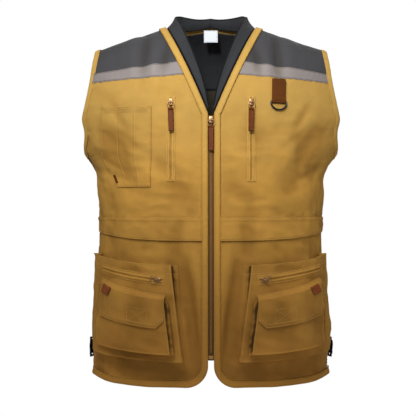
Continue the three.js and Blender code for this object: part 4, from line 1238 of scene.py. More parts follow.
def between(
    start: Callable[[Array], Array], stop: Callable[[Array], Array], bottom: Callable[[Array], Array],
    top: Callable[[Array], Array]
) -> Callable[[Array, Array], Place]:
    """Places inside four edges.

    Args:
        start: Angle of the first side at a climb.
        stop: Angle of the last side at a climb.
        bottom: Climb of the lower edge at an angle.
        top: Climb of the upper edge at an angle.

    Returns:
        A function of the shares across and up.
    """

    def place(u: Array, v: Array) -> Place:
        """The place at two shares."""
        first = start(np.zeros(np.shape(u)))
        climb = lerp(bottom(first), top(first), v)
        around = start(climb)
        for _ in range(6):
            around = lerp(start(climb), stop(climb), u)
            climb = lerp(bottom(around), top(around), v)
        return around, climb

    return place


def laid(place: Callable[[Array, Array], Place], lift: Lift | float, side: int = 1) -> Surface:
    """A surface of cloth over places of the wearer's left, or the same on the right.

    Args:
        place: Angle and climb at two shares.
        lift: Height over the form, or a function of the place.
        side: 1 for the wearer's left, -1 for the right.

    Returns:
        The surface, with its face outwards.
    """

    def surface(u: Array, v: Array) -> Array:
        """Points at two shares."""
        around, climb = place(u if side > 0 else 1 - u, v)
        high = lift(around, climb) if callable(lift) else lift
        return FORM.cloth(around * side, climb, high)

    return surface


def hollows(around: Array, climb: Array, side: int = 1) -> Array:
    """How deep in a crease the cloth lies: below 0 in a hollow, above 0 on a ridge."""
    height = FORM.crumple(around * side, climb) + FORM.fold_lift(around * side, climb)
    depth = np.where(cos_of(around) > 0, 2.5, 6.5)
    return np.clip(height / depth, -1.25, 1.5)


def creased_net(
    place: Callable[[Array, Array], Place], lift: Lift | float, us: Array, vs: Array, side: int = 1
) -> tuple[ClothGrid, Array]:
    """A net laid on the form, and how deep in a crease each of its points lies.

    Args:
        place: Angle and climb at two shares.
        lift: Height over the form, or a function of the place.
        us: Shares across.
        vs: Shares up.
        side: 1 for the wearer's left, -1 for the right.

    Returns:
        The net, and the depths.
    """
    fold = hollows(*place(*np.meshgrid(us if side > 0 else 1 - us, vs)), side)
    return net(laid(place, lift, side), us, vs), fold


@dataclass
class FrontPanels:
    """The two fronts: lower and upper panels, grey tape and yoke."""

    tailor: Tailor
    width: float = 190.0
    band: float = 12.5
    binding: float = 9.5
    tuck: float = 3.0

    def build(self, side: int) -> None:
        """Builds one front."""
        word = name_side(side)
        inner = self.band - self.tuck
        start, stop = FORM.front_edge(inner), FORM.side(self.binding - self.tuck)
        thread, dark = Stitching(), Stitching()

        def panel(
            name: str, bottom: Callable, top: Callable, size: tuple[int, int], finish: Finish,
            **more: object
        ) -> ClothGrid:
            """Makes one panel between two edges."""
            place = between(start, stop, bottom, top)
            us = shares(size[0], self.width, LIPS)
            vs = shares(size[1], more.pop("height"), LIPS)
            grid, fold = creased_net(place, more.pop("lift", 0.0), us, vs, side)
            nodes = [f"{more.pop('node')}_{word}"]
            return self.tailor.cloth(
                f"{name}_{word}", grid, [finish, SHADED_CANVAS_INSIDE], nodes, fold=fold, **more
            )

        low = panel(
            "lower_front", lambda a: FORM.hem(a, inner), steady(FORM.waist_climb), (84, 104), CANVAS,
            node="front_lower", seam=Seam(rows=(5.2,), roll=0.0, groove=0.5, pucker=0.8, reach=11.0),
            height=310.0
        )
        high = panel(
            "chest_front", steady(FORM.waist_climb), lambda a: FORM.stripe_foot(a) + self.tuck, (84, 106),
            CANVAS, node="front_upper", seam=Seam(rows=(5.2,), roll=0.0, groove=0.4, pucker=0.6, reach=9.0),
            height=290.0
        )
        tape = panel(
            "grey_tape", FORM.stripe_foot, lambda a: FORM.stripe_foot(a) + FORM.stripe_width, (80, 14),
            TAPE, node="front_tape", lift=0.7, thick=0.8,
            seam=Seam(sides=(Side.BOTTOM, Side.TOP), rows=(1.8,), roll=0.5, pucker=0.35, reach=9.0),
            height=25.0, rests_on=[f"chest_front_{word}"]
        )
        yoke = panel(
            "yoke", lambda a: FORM.stripe_foot(a) + FORM.stripe_width - self.tuck,
            steady(FORM.shoulder_climb + 0.2), (80, 52), YOKE, node="front_yoke",
            seam=Seam(sides=(Side.BOTTOM,), rows=(), roll=0.0, pucker=0.4, reach=8.0), height=130.0
        )
        near, far = (Side.LEFT, Side.RIGHT) if side > 0 else (Side.RIGHT, Side.LEFT)
        for grid in (low, high):
            thread.along(grid.row(near, self.tuck + 3.2))
            thread.along(grid.row(far, self.tuck + 2.0))
        thread.along(high.row(Side.BOTTOM, 2.5))
        thread.along(low.row(Side.BOTTOM, self.tuck + 2.5))
        dark.edges(tape, 1.6, Side.BOTTOM, Side.TOP)
        dark.along(yoke.row(near, self.tuck + 3.0)).along(yoke.row(far, self.tuck + 2.0))
        thread.make(self.tailor, f"front_stitches_{word}", THREAD)
        dark.make(self.tailor, f"yoke_stitches_{word}", DARK_THREAD)


@dataclass
class BackPanels:
    """The back: panel, tape and yoke, with the inner lining and the neck label."""

    tailor: Tailor
    width: float = 430.0
    height: float = 560.0
    binding: float = 9.5
    band: float = 12.5
    tuck: float = 3.0
    lining_edge: float = 3.0
    lining_half: float = 105.0
    label_width: float = 28.0
    label_height: float = 26.0
    label_lean: float = 14.0
    label_lower: float = 6.5

    def neck_climb(self, around: Array, inset: float) -> Array:
        """Climb of the back neckline at an angle, or of the shoulder line beyond it."""
        x = np.abs(FORM.half_width(FORM.shoulder_climb) * sin_of(around))
        share = np.clip(x / (FORM.neck_half + inset / math.cos(FORM.neck_slant)), 0, 1)
        y = (FORM.neck_back + inset) * np.sqrt(1 - share**2)
        depth = FORM.back_depth * FORM.share(3, FORM.shoulder_climb)
        reach = depth * np.abs(cos_of(around)) ** FORM.flatness
        return FORM.shoulder_radius * np.arccos(np.clip(y / reach, 0, 1))

    def build(self) -> None:
        """Builds the back."""
        edge = FORM.side(self.binding - self.tuck)
        thread, dark = Stitching(), Stitching()

        def panel(
            name: str, bottom: Callable, top: Callable, size: tuple[int, int], finish: Finish,
            **more: object
        ) -> ClothGrid:
            """Makes one panel between two edges."""
            place = between(lambda c: 180 - edge(c), lambda c: 180 + edge(c), bottom, top)
            us = shares(size[0], self.width, LIPS)
            vs = shares(size[1], more.pop("height", self.height), LIPS)
            grid, fold = creased_net(place, more.pop("lift", 0.0), us, vs)
            return self.tailor.cloth(
                name, grid, [finish, more.pop("inside", SHADED_CANVAS_INSIDE)], fold=fold, **more
            )

        main = panel(
            "back", lambda a: FORM.hem(a, 0.0), lambda a: FORM.stripe_foot(a) + self.tuck, (108, 128),
            CANVAS, nodes=["back_panel"], seam=Seam(rows=(ROW,), pucker=0.4, reach=9.0)
        )
        tape = panel(
            "back_grey_tape", FORM.stripe_foot, lambda a: FORM.stripe_foot(a) + FORM.stripe_width,
            (150, 14), TAPE, nodes=["back_tape"], lift=0.7, thick=0.8, height=25.0,
            seam=Seam(sides=(Side.BOTTOM, Side.TOP), rows=(1.8,), roll=0.5, pucker=0.3), rests_on=["back"]
        )
        yoke = panel(
            "back_yoke_cloth", lambda a: FORM.stripe_foot(a) + FORM.stripe_width - self.tuck,
            lambda a: self.neck_climb(a, self.band - self.tuck) + 0.2, (140, 44), YOKE, nodes=["back_yoke"],
            height=120.0, inside=LINING_BLACK,
            seam=Seam(sides=(Side.BOTTOM,), rows=(), roll=0.0, pucker=0.3)
        )
        thread.edges(main, ROW, Side.BOTTOM).edges(main, 12.0, Side.BOTTOM)
        thread.edges(main, self.tuck + 2.0, Side.LEFT, Side.RIGHT)
        dark.edges(tape, 1.6, Side.BOTTOM, Side.TOP)
        dark.along(yoke.row(Side.TOP, self.tuck + 3.0))
        thread.make(self.tailor, "back_stitches", THREAD)
        dark.make(self.tailor, "back_yoke_stitches", DARK_THREAD)
        self.line()
        self.label()

    def line(self) -> None:
        """Lines the back under the neck."""

        def top(around: Array) -> Array:
            """Climb of the lining's neckline."""
            x = np.abs(FORM.half_width(FORM.shoulder_climb) * sin_of(around))
            bow = np.sqrt(np.maximum(1 - (x / self.lining_half) ** 2, 0.02))
            y = (FORM.neck_back + self.lining_edge) * bow
            depth = FORM.back_depth * FORM.share(3, FORM.shoulder_climb)
            return FORM.shoulder_radius * np.arccos(np.clip(y / depth, 0, 1))

        foot = -FORM.stripe_drop - 12
        place = between(steady(136), steady(224), lambda a: FORM.climb_at(a, foot), top)

        def lift(around: Array, climb: Array) -> Array:
            """The lining hangs a little slack inside the yoke."""
            slack = 2.2 * smoothstep(sin_of((around - 136) * 180 / 88), 0, 1)
            low = smoothstep(FORM.shoulder_climb - climb, 20, 90)
            return -2.9 - slack * (1 + 0.5 * cos_of(around * 9)) * low

        us, vs = shares(90, 250.0), shares(50, 130.0)
        self.tailor.cloth(
            "neck_lining", net(laid(place, lift), us, vs).turned(), [LINING_BLACK], ["back_lining"],
            thick=1.0, held="hung", rests_on=["back_yoke_cloth"]
        )

    def label(self) -> None:
        """Sews a bare white label under the collar."""
        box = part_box("neck_label")
        middle = (np.array(box[0]) + np.array(box[1])) / 2 / MM
        middle[2] -= self.label_lower
        lean = math.radians(90 - self.label_lean)

        def surface(u: Array, v: Array) -> Array:
            """The label's face, which looks forwards and a little up."""
            x = (u - 0.5) * self.label_width
            y = (v - 0.5) * self.label_height
            z = 0.5 + 0.9 * np.sin(math.pi * u) * (1 - v)
            return np.stack(
                [
                    x + middle[0], middle[1] + y * math.cos(lean) - z * math.sin(lean),
                    middle[2] + y * math.sin(lean) + z * math.cos(lean)
                ],
                axis=-1
            )

        grid = net(
            surface, shares(20, self.label_width, (0.4, 1.6)), shares(20, self.label_height, (0.4, 1.6))
        )
        seam = Seam(sides=ALL_SIDES, rows=(1.6,), roll=0.25, groove=0.12, pucker=0.08)
        made = self.tailor.cloth(
            "label", grid, [LABEL], ["neck_label"], thick=0.5, seam=seam, held="hung",
            rests_on=["neck_lining"]
        )
        thread = Stitching(pitch=1.9, length=1.4, wide=0.4, high=0.3)
        thread.edges(made, 1.4, Side.TOP, Side.LEFT, Side.RIGHT)
        thread.make(self.tailor, "label_stitches", WHITE_THREAD)


@dataclass
class Bands:
    """Facing bands along the V, the front edges and the hem, the back neck and the armholes."""

    tailor: Tailor
    width: float = 12.5
    stand: float = 0.9
    thick: float = 2.1
    binding: float = 9.5

    def front(self, side: int) -> None:
        """Sews the band of one front, from the shoulder round to the side seam."""
        word = name_side(side)
        corner = FORM.climb_of(FORM.length) + FORM.hem_radius
        turn = np.float64(FORM.front_gap + FORM.hem_radius)
        first = float(FORM.around_at(turn, np.float64(FORM.climb_of(FORM.length))))
        runs = np.array([245.0, -corner, FORM.hem_radius * 1.5, 205.0])
        ends = np.concatenate([[0], np.cumsum(runs)]) / runs.sum()

        def place(u: Array, v: Array) -> Place:
            """The place at a share of the band's run and of its width."""
            inset = self.width * v
            q = [np.clip((u - ends[k]) / (ends[k + 1] - ends[k]), 0, 1) for k in range(4)]
            neck = FORM.shoulder_climb * (1 - q[0])
            edge = corner * q[1]
            radius = FORM.hem_radius - inset
            bend = corner - radius * sin_of(90 * q[2])
            x = FORM.front_gap + FORM.hem_radius - radius * cos_of(90 * q[2])
            hem_around = lerp(first, 90 - FORM.seam_angle, q[3])
            slant = (FORM.neck_half - FORM.front_gap) * sin_of(FORM.lean(neck))
            neck_x = FORM.front_gap + np.maximum(slant + inset / math.cos(FORM.neck_slant), inset)
            which = [u < ends[1], u < ends[2], u < ends[3]]
            spots = [(neck_x, neck), (FORM.front_gap + inset, edge), (x, bend)]
            around = np.select(which, [FORM.around_at(*spot) for spot in spots], hem_around)
            insets = np.unique(inset)
            same = [np.abs(inset - i) < 1e-6 for i in insets]
            hem = np.select(same, [FORM.hem(hem_around, i) for i in insets])
            return around, np.select(which, [neck, edge, bend], hem)

        us = np.unique(np.concatenate([np.linspace(0, 1, 440), ends]))
        vs = shares(8, self.width, (0.3, 0.8, 1.4, 2.2, 3.2))
        grid = net(lambda u, v: laid(place, self.stand)(u, v) * (side, 1, 1), us, vs)
        grid = grid.turned() if side > 0 else grid
        seam = Seam(
            sides=(Side.BOTTOM, Side.TOP), rows=(ROW,), roll=1.0, groove=0.35, pucker=0.22, reach=6.0
        )
        made = self.tailor.cloth(
            f"front_facing_{word}", grid, [CANVAS_TRIM], [f"front_band_{word}"], thick=self.thick, seam=seam
        )
        thread = Stitching().edges(made, ROW, Side.BOTTOM, Side.TOP)
        thread.make(self.tailor, f"facing_stitches_{word}", THREAD)

    def neck(self) -> None:
        """Sews the band of the back neckline."""

        def surface(u: Array, v: Array) -> Array:
            """Points of the band."""
            return FORM.cloth(*FORM.back_neck(lerp(-90.0, 90.0, u), self.width * v), self.stand)

        grid = net(surface, np.linspace(0, 1, 110), shares(8, self.width, (0.3, 0.8, 1.4, 2.2)))
        seam = Seam(sides=(Side.BOTTOM, Side.TOP), rows=(ROW,), roll=1.0, pucker=0.15)
        made = self.tailor.cloth(
            "neck_facing", grid.turned(), [CANVAS_TRIM], ["back_neck_band"], thick=self.thick, seam=seam
        )
        thread = Stitching().edges(made, ROW, Side.BOTTOM, Side.TOP)
        thread.make(self.tailor, "neck_facing_stitches", THREAD)

    def armhole(self, side: int) -> None:
        """Binds one armhole: the binding folds round the edge to the inside."""
        word = name_side(side)
        high, low = 1.1, -2.7
        radius = (high - low) / 2
        first, last = 0.46, 0.54

        def surface(u: Array, v: Array) -> Array:
            """Points of the binding, from its outer edge round to its inner one."""
            s = 1 - 2 * u
            inset = np.where(v < first, self.binding * (1 - v / first), self.binding * (v - last) / first)
            turn = 180 * np.clip((v - first) / (last - first), 0, 1)
            inset = np.where((v >= first) & (v <= last), -radius * sin_of(turn), inset)
            lift = lerp(low, high, 0.5) + radius * cos_of(turn)
            swell = np.where(v < first, 0.5 * sin_of(180 * v / first), 0)
            start = FORM.climb_of(FORM.armpit_drop) - inset
            climb = lerp(start, FORM.shoulder_climb, (1 - np.abs(s)) ** 1.7)
            front = FORM.side(inset)(climb)
            return FORM.cloth(np.where(s < 0, front, 180 - front), climb, lift + swell)

        vs = np.array(
            [0, 0.03, 0.07, 0.14, 0.22, 0.3, 0.37, 0.42, 0.46, 0.48, 0.5, 0.52, 0.54, 0.6, 0.8, 1.0]
        )
        grid = net(surface, np.linspace(0, 1, 260), vs)
        if side < 0:
            grid = grid.mirrored()
        seam = Seam(sides=(Side.BOTTOM,), rows=(2.0,), roll=0.8, groove=0.3, pucker=0.3, reach=7.0)
        made = self.tailor.cloth(
            f"armhole_edge_{word}", grid, [CANVAS_TRIM], [f"armhole_binding_{word}"], thick=0.7, seam=seam,
            held="gathered"
        )
        Stitching().along(made.row(Side.BOTTOM, 1.9)).make(self.tailor, f"armhole_stitches_{word}", THREAD)


@dataclass
class Collar:
    """The ribbed collar, which stands from the neckline down to the foot of the V."""

    tailor: Tailor
    thick: float = 2.4
    width: float = 27.0
    swell: float = 2.0
    reach: float = 1.985

    ROWS = np.array(
        [
            (0, 0, -0.3, 0.67),
            (0.6, 0.42, -0.2, 1.08),
            (1, 0.6, 0, 0.87),
            (1.3, 0.63, 0.05, 0.92),
            (1.6, 0.58, 0.08, 0.72),
            (1.85, 0.36, 0.06, 0.6),
            (2, 0.02, 0.04, 0.42),
        ]
    )

    def seam(self, at: Array) -> Array:
        """A point of the seam: at is 0 behind the neck, 1 at a shoulder and 2 at the V's foot."""
        side, far = np.where(at < 0, -1.0, 1.0), np.abs(at)
        inset = -FORM.seam / 2 - self.thick / 2
        back_around, back_climb = FORM.back_neck(90 * np.clip(at, -1, 1), inset)
        climb = FORM.shoulder_climb * np.clip(2 - far, 0, 1)
        front_around = side * FORM.front_edge(inset)(climb)
        around = np.where(far <= 1, back_around, front_around)
        return FORM.cloth(around, np.where(far <= 1, back_climb, climb), -0.8, worn=False)

    def offset(self, at: Array) -> Array:
        """The way from the seam to the free edge."""
        side, far = np.sign(at), np.abs(at)
        inward, back, up = (
            self.width * curve_through(self.ROWS[:, 0], self.ROWS[:, k], far) for k in (1, 2, 3)
        )
        return np.stack([-side * inward, back, up], axis=-1)

    def surface(self, u: Array, v: Array) -> Array:
        """The collar's middle surface."""
        at = (u - 0.5) * 2 * self.reach
        share = v[..., None]
        step = 0.02
        ahead = self.seam(at + step) + self.offset(at + step) * share
        behind = self.seam(at - step) + self.offset(at - step) * share
        out = unit(np.cross(ahead - behind, self.offset(at)))
        wave = 0.5 * np.sin(at * 17) * v**2
        lift = self.swell * np.sin(math.pi * v) + wave
        return self.seam(at) + self.offset(at) * share + out * lift[..., None]

    def build(self) -> None:
        """Builds the collar."""
        grid = net(self.surface, np.linspace(0, 1, 250), np.linspace(0, 1, 13))
        seam = Seam(sides=(Side.TOP, Side.BOTTOM), rows=(), roll=0.0, pucker=0.25, reach=5.0)
        self.tailor.cloth(
            "rib_collar", grid, [RIB], ["collar"], thick=self.thick, offset=0.0, seam=seam, smooth=1
        )


@dataclass
class WaistFlaps:
    """The flap that hangs over the waist seam of each front."""

    tailor: Tailor
    band: float = 13.1
    height: float = 43.0
    rise: float = 16.0
    thick: float = 1.4
    stand: float = 3.0
    layer: float = 0.8

    def build(self, side: int) -> None:
        """Builds the flap of one front."""
        word = name_side(side)

        def bottom(around: Array) -> Array:
            """Climb of the free lower edge."""
            return FORM.climb_of(FORM.waist_drop + self.height) + self.rise * sin_of(around) ** 4

        def lift(around: Array, climb: Array) -> Array:
            """Height of the outer face, which stands off along the free edge."""
            share = np.clip((climb - bottom(around)) / (FORM.waist_climb - bottom(around)), 0, 1)
            wave = 0.5 + 0.5 * np.sin(np.asarray(around) * 0.31 + 0.8)
            free = (self.stand - self.layer + 1.6 * wave) * (1 - share) * cos_of(around)
            fold = 0.9 * bell(share, 0.92, 0.06)
            return self.layer + np.maximum(free, 0) + self.thick + fold

        place = between(
            FORM.front_edge(self.band - 1.5), steady(90 - FORM.seam_angle), bottom,
            steady(FORM.waist_climb + 1.5)
        )
        us, vs = shares(110, 205.0, LIPS), shares(22, self.height, LIPS)
        grid, fold = creased_net(place, lift, us, vs, side)
        seam = Seam(rows=(ROW,), roll=0.9, pucker=0.4, reach=7.0)
        made = self.tailor.cloth(
            f"waist_cover_{word}", grid, [CANVAS], [f"waist_flap_{word}"], thick=self.thick, seam=seam,
            held="hung", rests_on=[f"lower_front_{word}"], fold=fold
        )
        thread = Stitching().along(made.row(Side.TOP, 2.0)).along(made.row(Side.BOTTOM, ROW))
        thread.make(self.tailor, f"waist_stitches_{word}", THREAD)


def ring_of(outline: Array, wire: float, sides: int = 10) -> bmesh.types.BMesh:
    """A closed ring of round wire that follows a flat outline.

    Args:
        outline: Points of the outline in order, in the x and y directions.
        wire: Thickness of the wire.
        sides: Sides of its section.

    Returns:
        The ring as a bmesh.
    """
    bm = bmesh.new()
    steps = len(outline)
    section = bmesh.ops.create_circle(bm, segments=sides, radius=0.25, cap_ends=False)["verts"]
    bmesh.ops.rotate(bm, verts=section, cent=(0, 0, 0), matrix=Matrix.Rotation(math.pi / 2, 3, "X"))
    bmesh.ops.translate(bm, verts=section, vec=(1, 0, 0))
    edges = list(bm.edges)
    bmesh.ops.spin(
        bm, geom=section + edges, cent=(0, 0, 0), axis=(0, 0, 1), angle=2 * math.pi, steps=steps,
        use_merge=True
    )
    bmesh.ops.remove_doubles(bm, verts=bm.verts, dist=1e-4)
    ahead, behind = np.roll(outline, -1, axis=0), np.roll(outline, 1, axis=0)
    along = unit(ahead - behind)
    for v in bm.verts:
        k = round(math.atan2(v.co.y, v.co.x) / (2 * math.pi) * steps) % steps
        reach = (math.hypot(v.co.x, v.co.y) - 1) / 0.25 * wire / 2
        aside = np.array([along[k][1], -along[k][0]])
        x, y = outline[k] + aside * reach
        v.co = (x, y, v.co.z / 0.25 * wire / 2)
    bmesh.ops.recalc_face_normals(bm, faces=bm.faces)
    return bm


def rounded_box(
    width: float, height: float, depth: float, round_by: float, segments: int = 3
) -> bmesh.types.BMesh:
    """A box with rounded edges round the origin."""
    bm = bmesh.new()
    bmesh.ops.create_cube(bm, size=1.0)
    bmesh.ops.scale(bm, vec=(width, height, depth), verts=bm.verts)
    bmesh.ops.bevel(
        bm, geom=bm.edges, offset=round_by, segments=segments, profile=0.5, affect="EDGES", material=-1
    )
    return bm


@dataclass
class ZipPull:
    """A slider with its bail, its wire link and, where it has one, its leather pull."""

    tailor: Tailor
    name: str
    body: str
    at: Matrix
    side: int = 1
    tab: float = 0.0
    suffix: str = ""
    top: float = 9.0
    foot: float = 6.6
    length: float = 13.0
    thick: float = 2.6
    bore: float = 4.85
    link_width: float = 13.8
    link_height: float = 13.5
    wire: float = 1.5
    tab_width: float = 9.6

    def build(self) -> None:
        """Builds the slider, the link and the pull."""
        self.slider()
        self.link()
        if self.tab:
            self.leather()

    def slider(self) -> None:
        """A tapered body with rounded edges and a ring-shaped bail."""
        bm = bmesh.new()
        bmesh.ops.create_cube(bm, size=1.0)
        bmesh.ops.subdivide_edges(bm, edges=bm.edges, cuts=2, use_grid_fill=True)
        for v in bm.verts:
            share = v.co.y + 0.5
            taper = 1 - 0.16 * smoothstep(share, 0.75, 1.0)
            half = lerp(self.foot, self.top, smoothstep(share, 0.1, 0.75)) * taper
            crown = 1 + 0.12 * (1 - 4 * v.co.x**2)
            v.co = (v.co.x * half, v.co.y * self.length, (v.co.z + 0.5) * self.thick * crown)
        sharp = [e for e in bm.edges if e.is_manifold and e.calc_face_angle(0) > 0.6]
        bmesh.ops.bevel(bm, geom=sharp, offset=0.45, segments=2, profile=0.5, affect="EDGES", material=-1)
        turns = np.linspace(0, 2 * math.pi, 24, endpoint=False)
        bail = ring_of(np.stack([np.cos(turns) * 2.7, np.sin(turns) * 1.85], axis=-1), 1.3)
        for axis in "YX":
            turn = Matrix.Rotation(math.pi / 2, 3, axis)
            bmesh.ops.rotate(bail, verts=bail.verts, cent=(0, 0, 0), matrix=turn)
        bmesh.ops.scale(bail, vec=(1.9, 1, 1), verts=bail.verts)
        bmesh.ops.translate(bail, verts=bail.verts, vec=(0, 0, self.bore - 0.3))
        add_shape(bm, bail)
        self.tailor.solid(
            f"{self.name}_runner{self.suffix}", bm, [BRASS], [f"{self.name}_slider{self.suffix}"],
            at=self.at, side=self.side
        )

    def link(self) -> None:
        """A rounded wire link."""
        turns = np.linspace(0, 2 * math.pi, 44, endpoint=False)
        power = 2 / 3.4
        half_w, half_h = (self.link_width - self.wire) / 2, (self.link_height - self.wire) / 2
        x = np.sign(np.cos(turns)) * np.abs(np.cos(turns)) ** power * half_w
        y = np.sign(np.sin(turns)) * np.abs(np.sin(turns)) ** power * half_h
        bm = ring_of(np.stack([x, y - half_h], axis=-1), self.wire)
        bmesh.ops.translate(bm, verts=bm.verts, vec=(0, 0, self.bore))
        node = f"{self.name}_link{self.suffix}"
        self.tailor.solid(
            f"{self.name}_loop{self.suffix}", bm, [BRASS], [node], at=self.at, side=self.side,
            body=self.body
        )

    def leather(self) -> None:
        """A strip of leather folded round the link and sewn to itself."""
        drop = self.link_height - 1.4
        thick = 1.05
        radius = 1.2 + thick / 2
        bends = np.radians(np.linspace(-78, -282, 15))
        loop = np.stack([radius * np.cos(bends), radius * np.sin(bends)], axis=-1)
        half = 0.56
        under = [(-self.tab, -half), (-self.tab * 0.5, -half), (-4.0, -half)]
        over = [(-4.0, half), (-self.tab * 0.5, half + 0.25), (-self.tab, half)]
        route = np.array([*under, *loop, *over])
        run = run_of(route)

        def surface(u: Array, v: Array) -> Array:
            """Points of the folded strip in the pull's own frame."""
            y, z = (np.interp(v * run[-1], run, column) for column in route.T)
            width = self.tab_width * (1 - 0.06 * smoothstep(-y, 4, self.tab))
            x = (u - 0.5) * width
            return np.stack([x, y - drop, z + self.bore], axis=-1)

        vs = np.unique(np.concatenate([run / run[-1], np.linspace(0, 1, 70)]))
        local = surface(*np.meshgrid(shares(8, self.tab_width, (0.3, 0.9, 1.6)), vs))
        grid = ClothGrid(into_frame(local, self.at))
        if self.side < 0:
            grid = grid.mirrored()
        seam = Seam(rows=(1.4,), roll=0.35, groove=0.12, pucker=0.0)
        made = self.tailor.cloth(
            f"{self.name}_pull{self.suffix}", grid, [LEATHER], [f"{self.name}_tab{self.suffix}"],
            thick=thick, offset=0.0, seam=seam, held=None, body=self.body
        )
        thread = Stitching(pitch=2.3, length=1.7, wide=0.5, high=0.35, rise=thick / 2)
        for across, up in (((0.12, 0.85), (0.88, 0.85)), ((0.14, 0.98), (0.86, 0.98))):
            thread.along(made.chord(across, up, 12))
        thread.make(self.tailor, f"{self.name}_pull_stitches{self.suffix}", BROWN_THREAD, body=self.body)


@dataclass
class FrontZip:
    """The front zip, closed up to the foot of the V."""

    tailor: Tailor
    foot_drop: float = 634.0
    half: float = 7.6
    coil_pitch: float = 1.75
    tape_lift: float = -1.1

    def build(self) -> None:
        """Builds tape, coil, end box, slider, link and pull."""
        top, foot = -3.0, FORM.climb_of(self.foot_drop)

        def place(u: Array, v: Array) -> Place:
            """A place of the tape."""
            climb = lerp(foot, top, v)
            return FORM.around_at(lerp(-self.half, self.half, u), climb), climb

        def lift(around: Array, climb: Array) -> Array:
            """The tape stands a little higher beside the coil."""
            x = np.abs(FORM.half_width(climb) * sin_of(around))
            return self.tape_lift + 0.5 * bell(x, 3.0, 1.2)

        grid = net(laid(place, lift), np.linspace(0, 1, 19), np.linspace(0, 1, 200))
        seam = Seam(sides=(Side.LEFT, Side.RIGHT), rows=(3.0,), roll=0.0, groove=0.15, pucker=0.12)
        made = self.tailor.cloth(
            "zip_tape", grid, [ZIP_TAPE], ["front_zip_tape"], thick=1.0, seam=seam, held="stretched"
        )
        thread = Stitching(pitch=2.6, length=1.9, wide=0.5)
        thread.edges(made, ROW, Side.LEFT, Side.RIGHT)
        thread.make(self.tailor, "zip_stitches", THREAD)
        teeth = Stitching(pitch=self.coil_pitch, length=3.0, wide=1.15, high=1.25, rise=1.1)
        middle = made.chord((0.5, 0.008), (0.5, 0.995), 300)
        teeth.along(middle, 0.75)
        points, normals = middle
        teeth.along((points[1:], normals[1:]), -0.75)
        teeth.make(self.tailor, "zip_teeth", COIL, ["front_zip_coil"], across=True)
        bm = rounded_box(9, 7, 2.6, 0.8)
        at = FORM.frame_on(0.0, foot - 4.2, 0.4)
        self.tailor.solid("zip_end_box", bm, [COIL], ["front_zip_box"], at=at)
        at = FORM.frame_on(0.0, -12.0, self.tape_lift + 0.8 + 1.2 + 0.4)
        ZipPull(self.tailor, "front_zip", "front_zip_pull", at, tab=47.0).build()


@dataclass
class ChestZips:
    """An upright zip on each side of the chest, in a narrow welt."""

    tailor: Tailor
    x: float = 76.0
    drop: float = 150.0
    length: float = 154.0
    width: float = 16.0
    slit: float = 2.8
    layer: float = 0.8
    thick: float = 1.2

    def build(self, side: int) -> None:
        """Builds the zip of one side."""
        word = name_side(side)
        half = self.length / 2 + 4

        def welt(u: Array, v: Array) -> Array:
            """Points of the welt, with a groove where the coil lies."""
            x = lerp(-self.width / 2, self.width / 2, u)
            y = lerp(-half, half, v)
            inside = smoothstep(half - 4 - np.abs(y), -2, 2)
            groove = smoothstep(self.slit / 2 + 0.9 - np.abs(x), 0, 0.9) * inside
            lips = 0.7 * bell(np.abs(x), self.slit / 2 + 1.6, 1.5) * inside
            lift = self.layer + self.thick * 0.8 + lips - 1.9 * groove
            around, climb = FORM.spot(self.x + x, -self.drop - self.length / 2 + y)
            return FORM.cloth(around * side, climb, lift)

        lips = np.array([-2.3, -1.9, -1.45, 1.45, 1.9, 2.3])
        us = np.sort(np.concatenate([shares(14, self.width, (0.4, 1.0, 2.0)), 0.5 + lips / self.width]))
        grid = net(welt, us, shares(80, self.length + 8, (0.4, 1.0, 2.0, 3.0)))
        if side < 0:
            grid = grid.turned()
        seam = Seam(rows=(1.5,), roll=0.5, groove=0.25, pucker=0.2, reach=5.0)
        nodes = [f"chest_zip_welt_{word}"]
        made = self.tailor.cloth(
            f"chest_welt_{word}", grid, [CANVAS_TRIM], nodes, thick=0.8, seam=seam, held="stretched",
            rests_on=[f"chest_front_{word}"]
        )
        thread = Stitching()
        for edge in (Side.LEFT, Side.RIGHT):
            thread.along(made.row(edge, 1.5))
            thread.along(made.row(edge, 4.6, 0.03, 0.97))
        for end in (Side.TOP, Side.BOTTOM):
            thread.along(made.row(end, 2.0, 0.1, 0.9))
            thread.along(made.row(end, 3.2, 0.3, 0.7))
        thread.make(self.tailor, f"chest_zip_stitches_{word}", THREAD)
        teeth = Stitching(pitch=1.6, length=2.1, wide=1.0, high=0.9, rise=0.5)
        teeth.along(made.chord((0.5, 0.03), (0.5, 0.97), 90))
        teeth.make(self.tailor, f"chest_zip_teeth_{word}", COIL, [f"chest_zip_coil_{word}"], across=True)
        around, climb = FORM.spot(np.float64(self.x), np.float64(-self.drop - 8))
        at = FORM.frame_on(float(around), float(climb), self.layer + self.thick + 0.4)
        ZipPull(self.tailor, "chest_zip", f"chest_zip_pull_{word}", at, side, 44.0, f"_{word}").build()


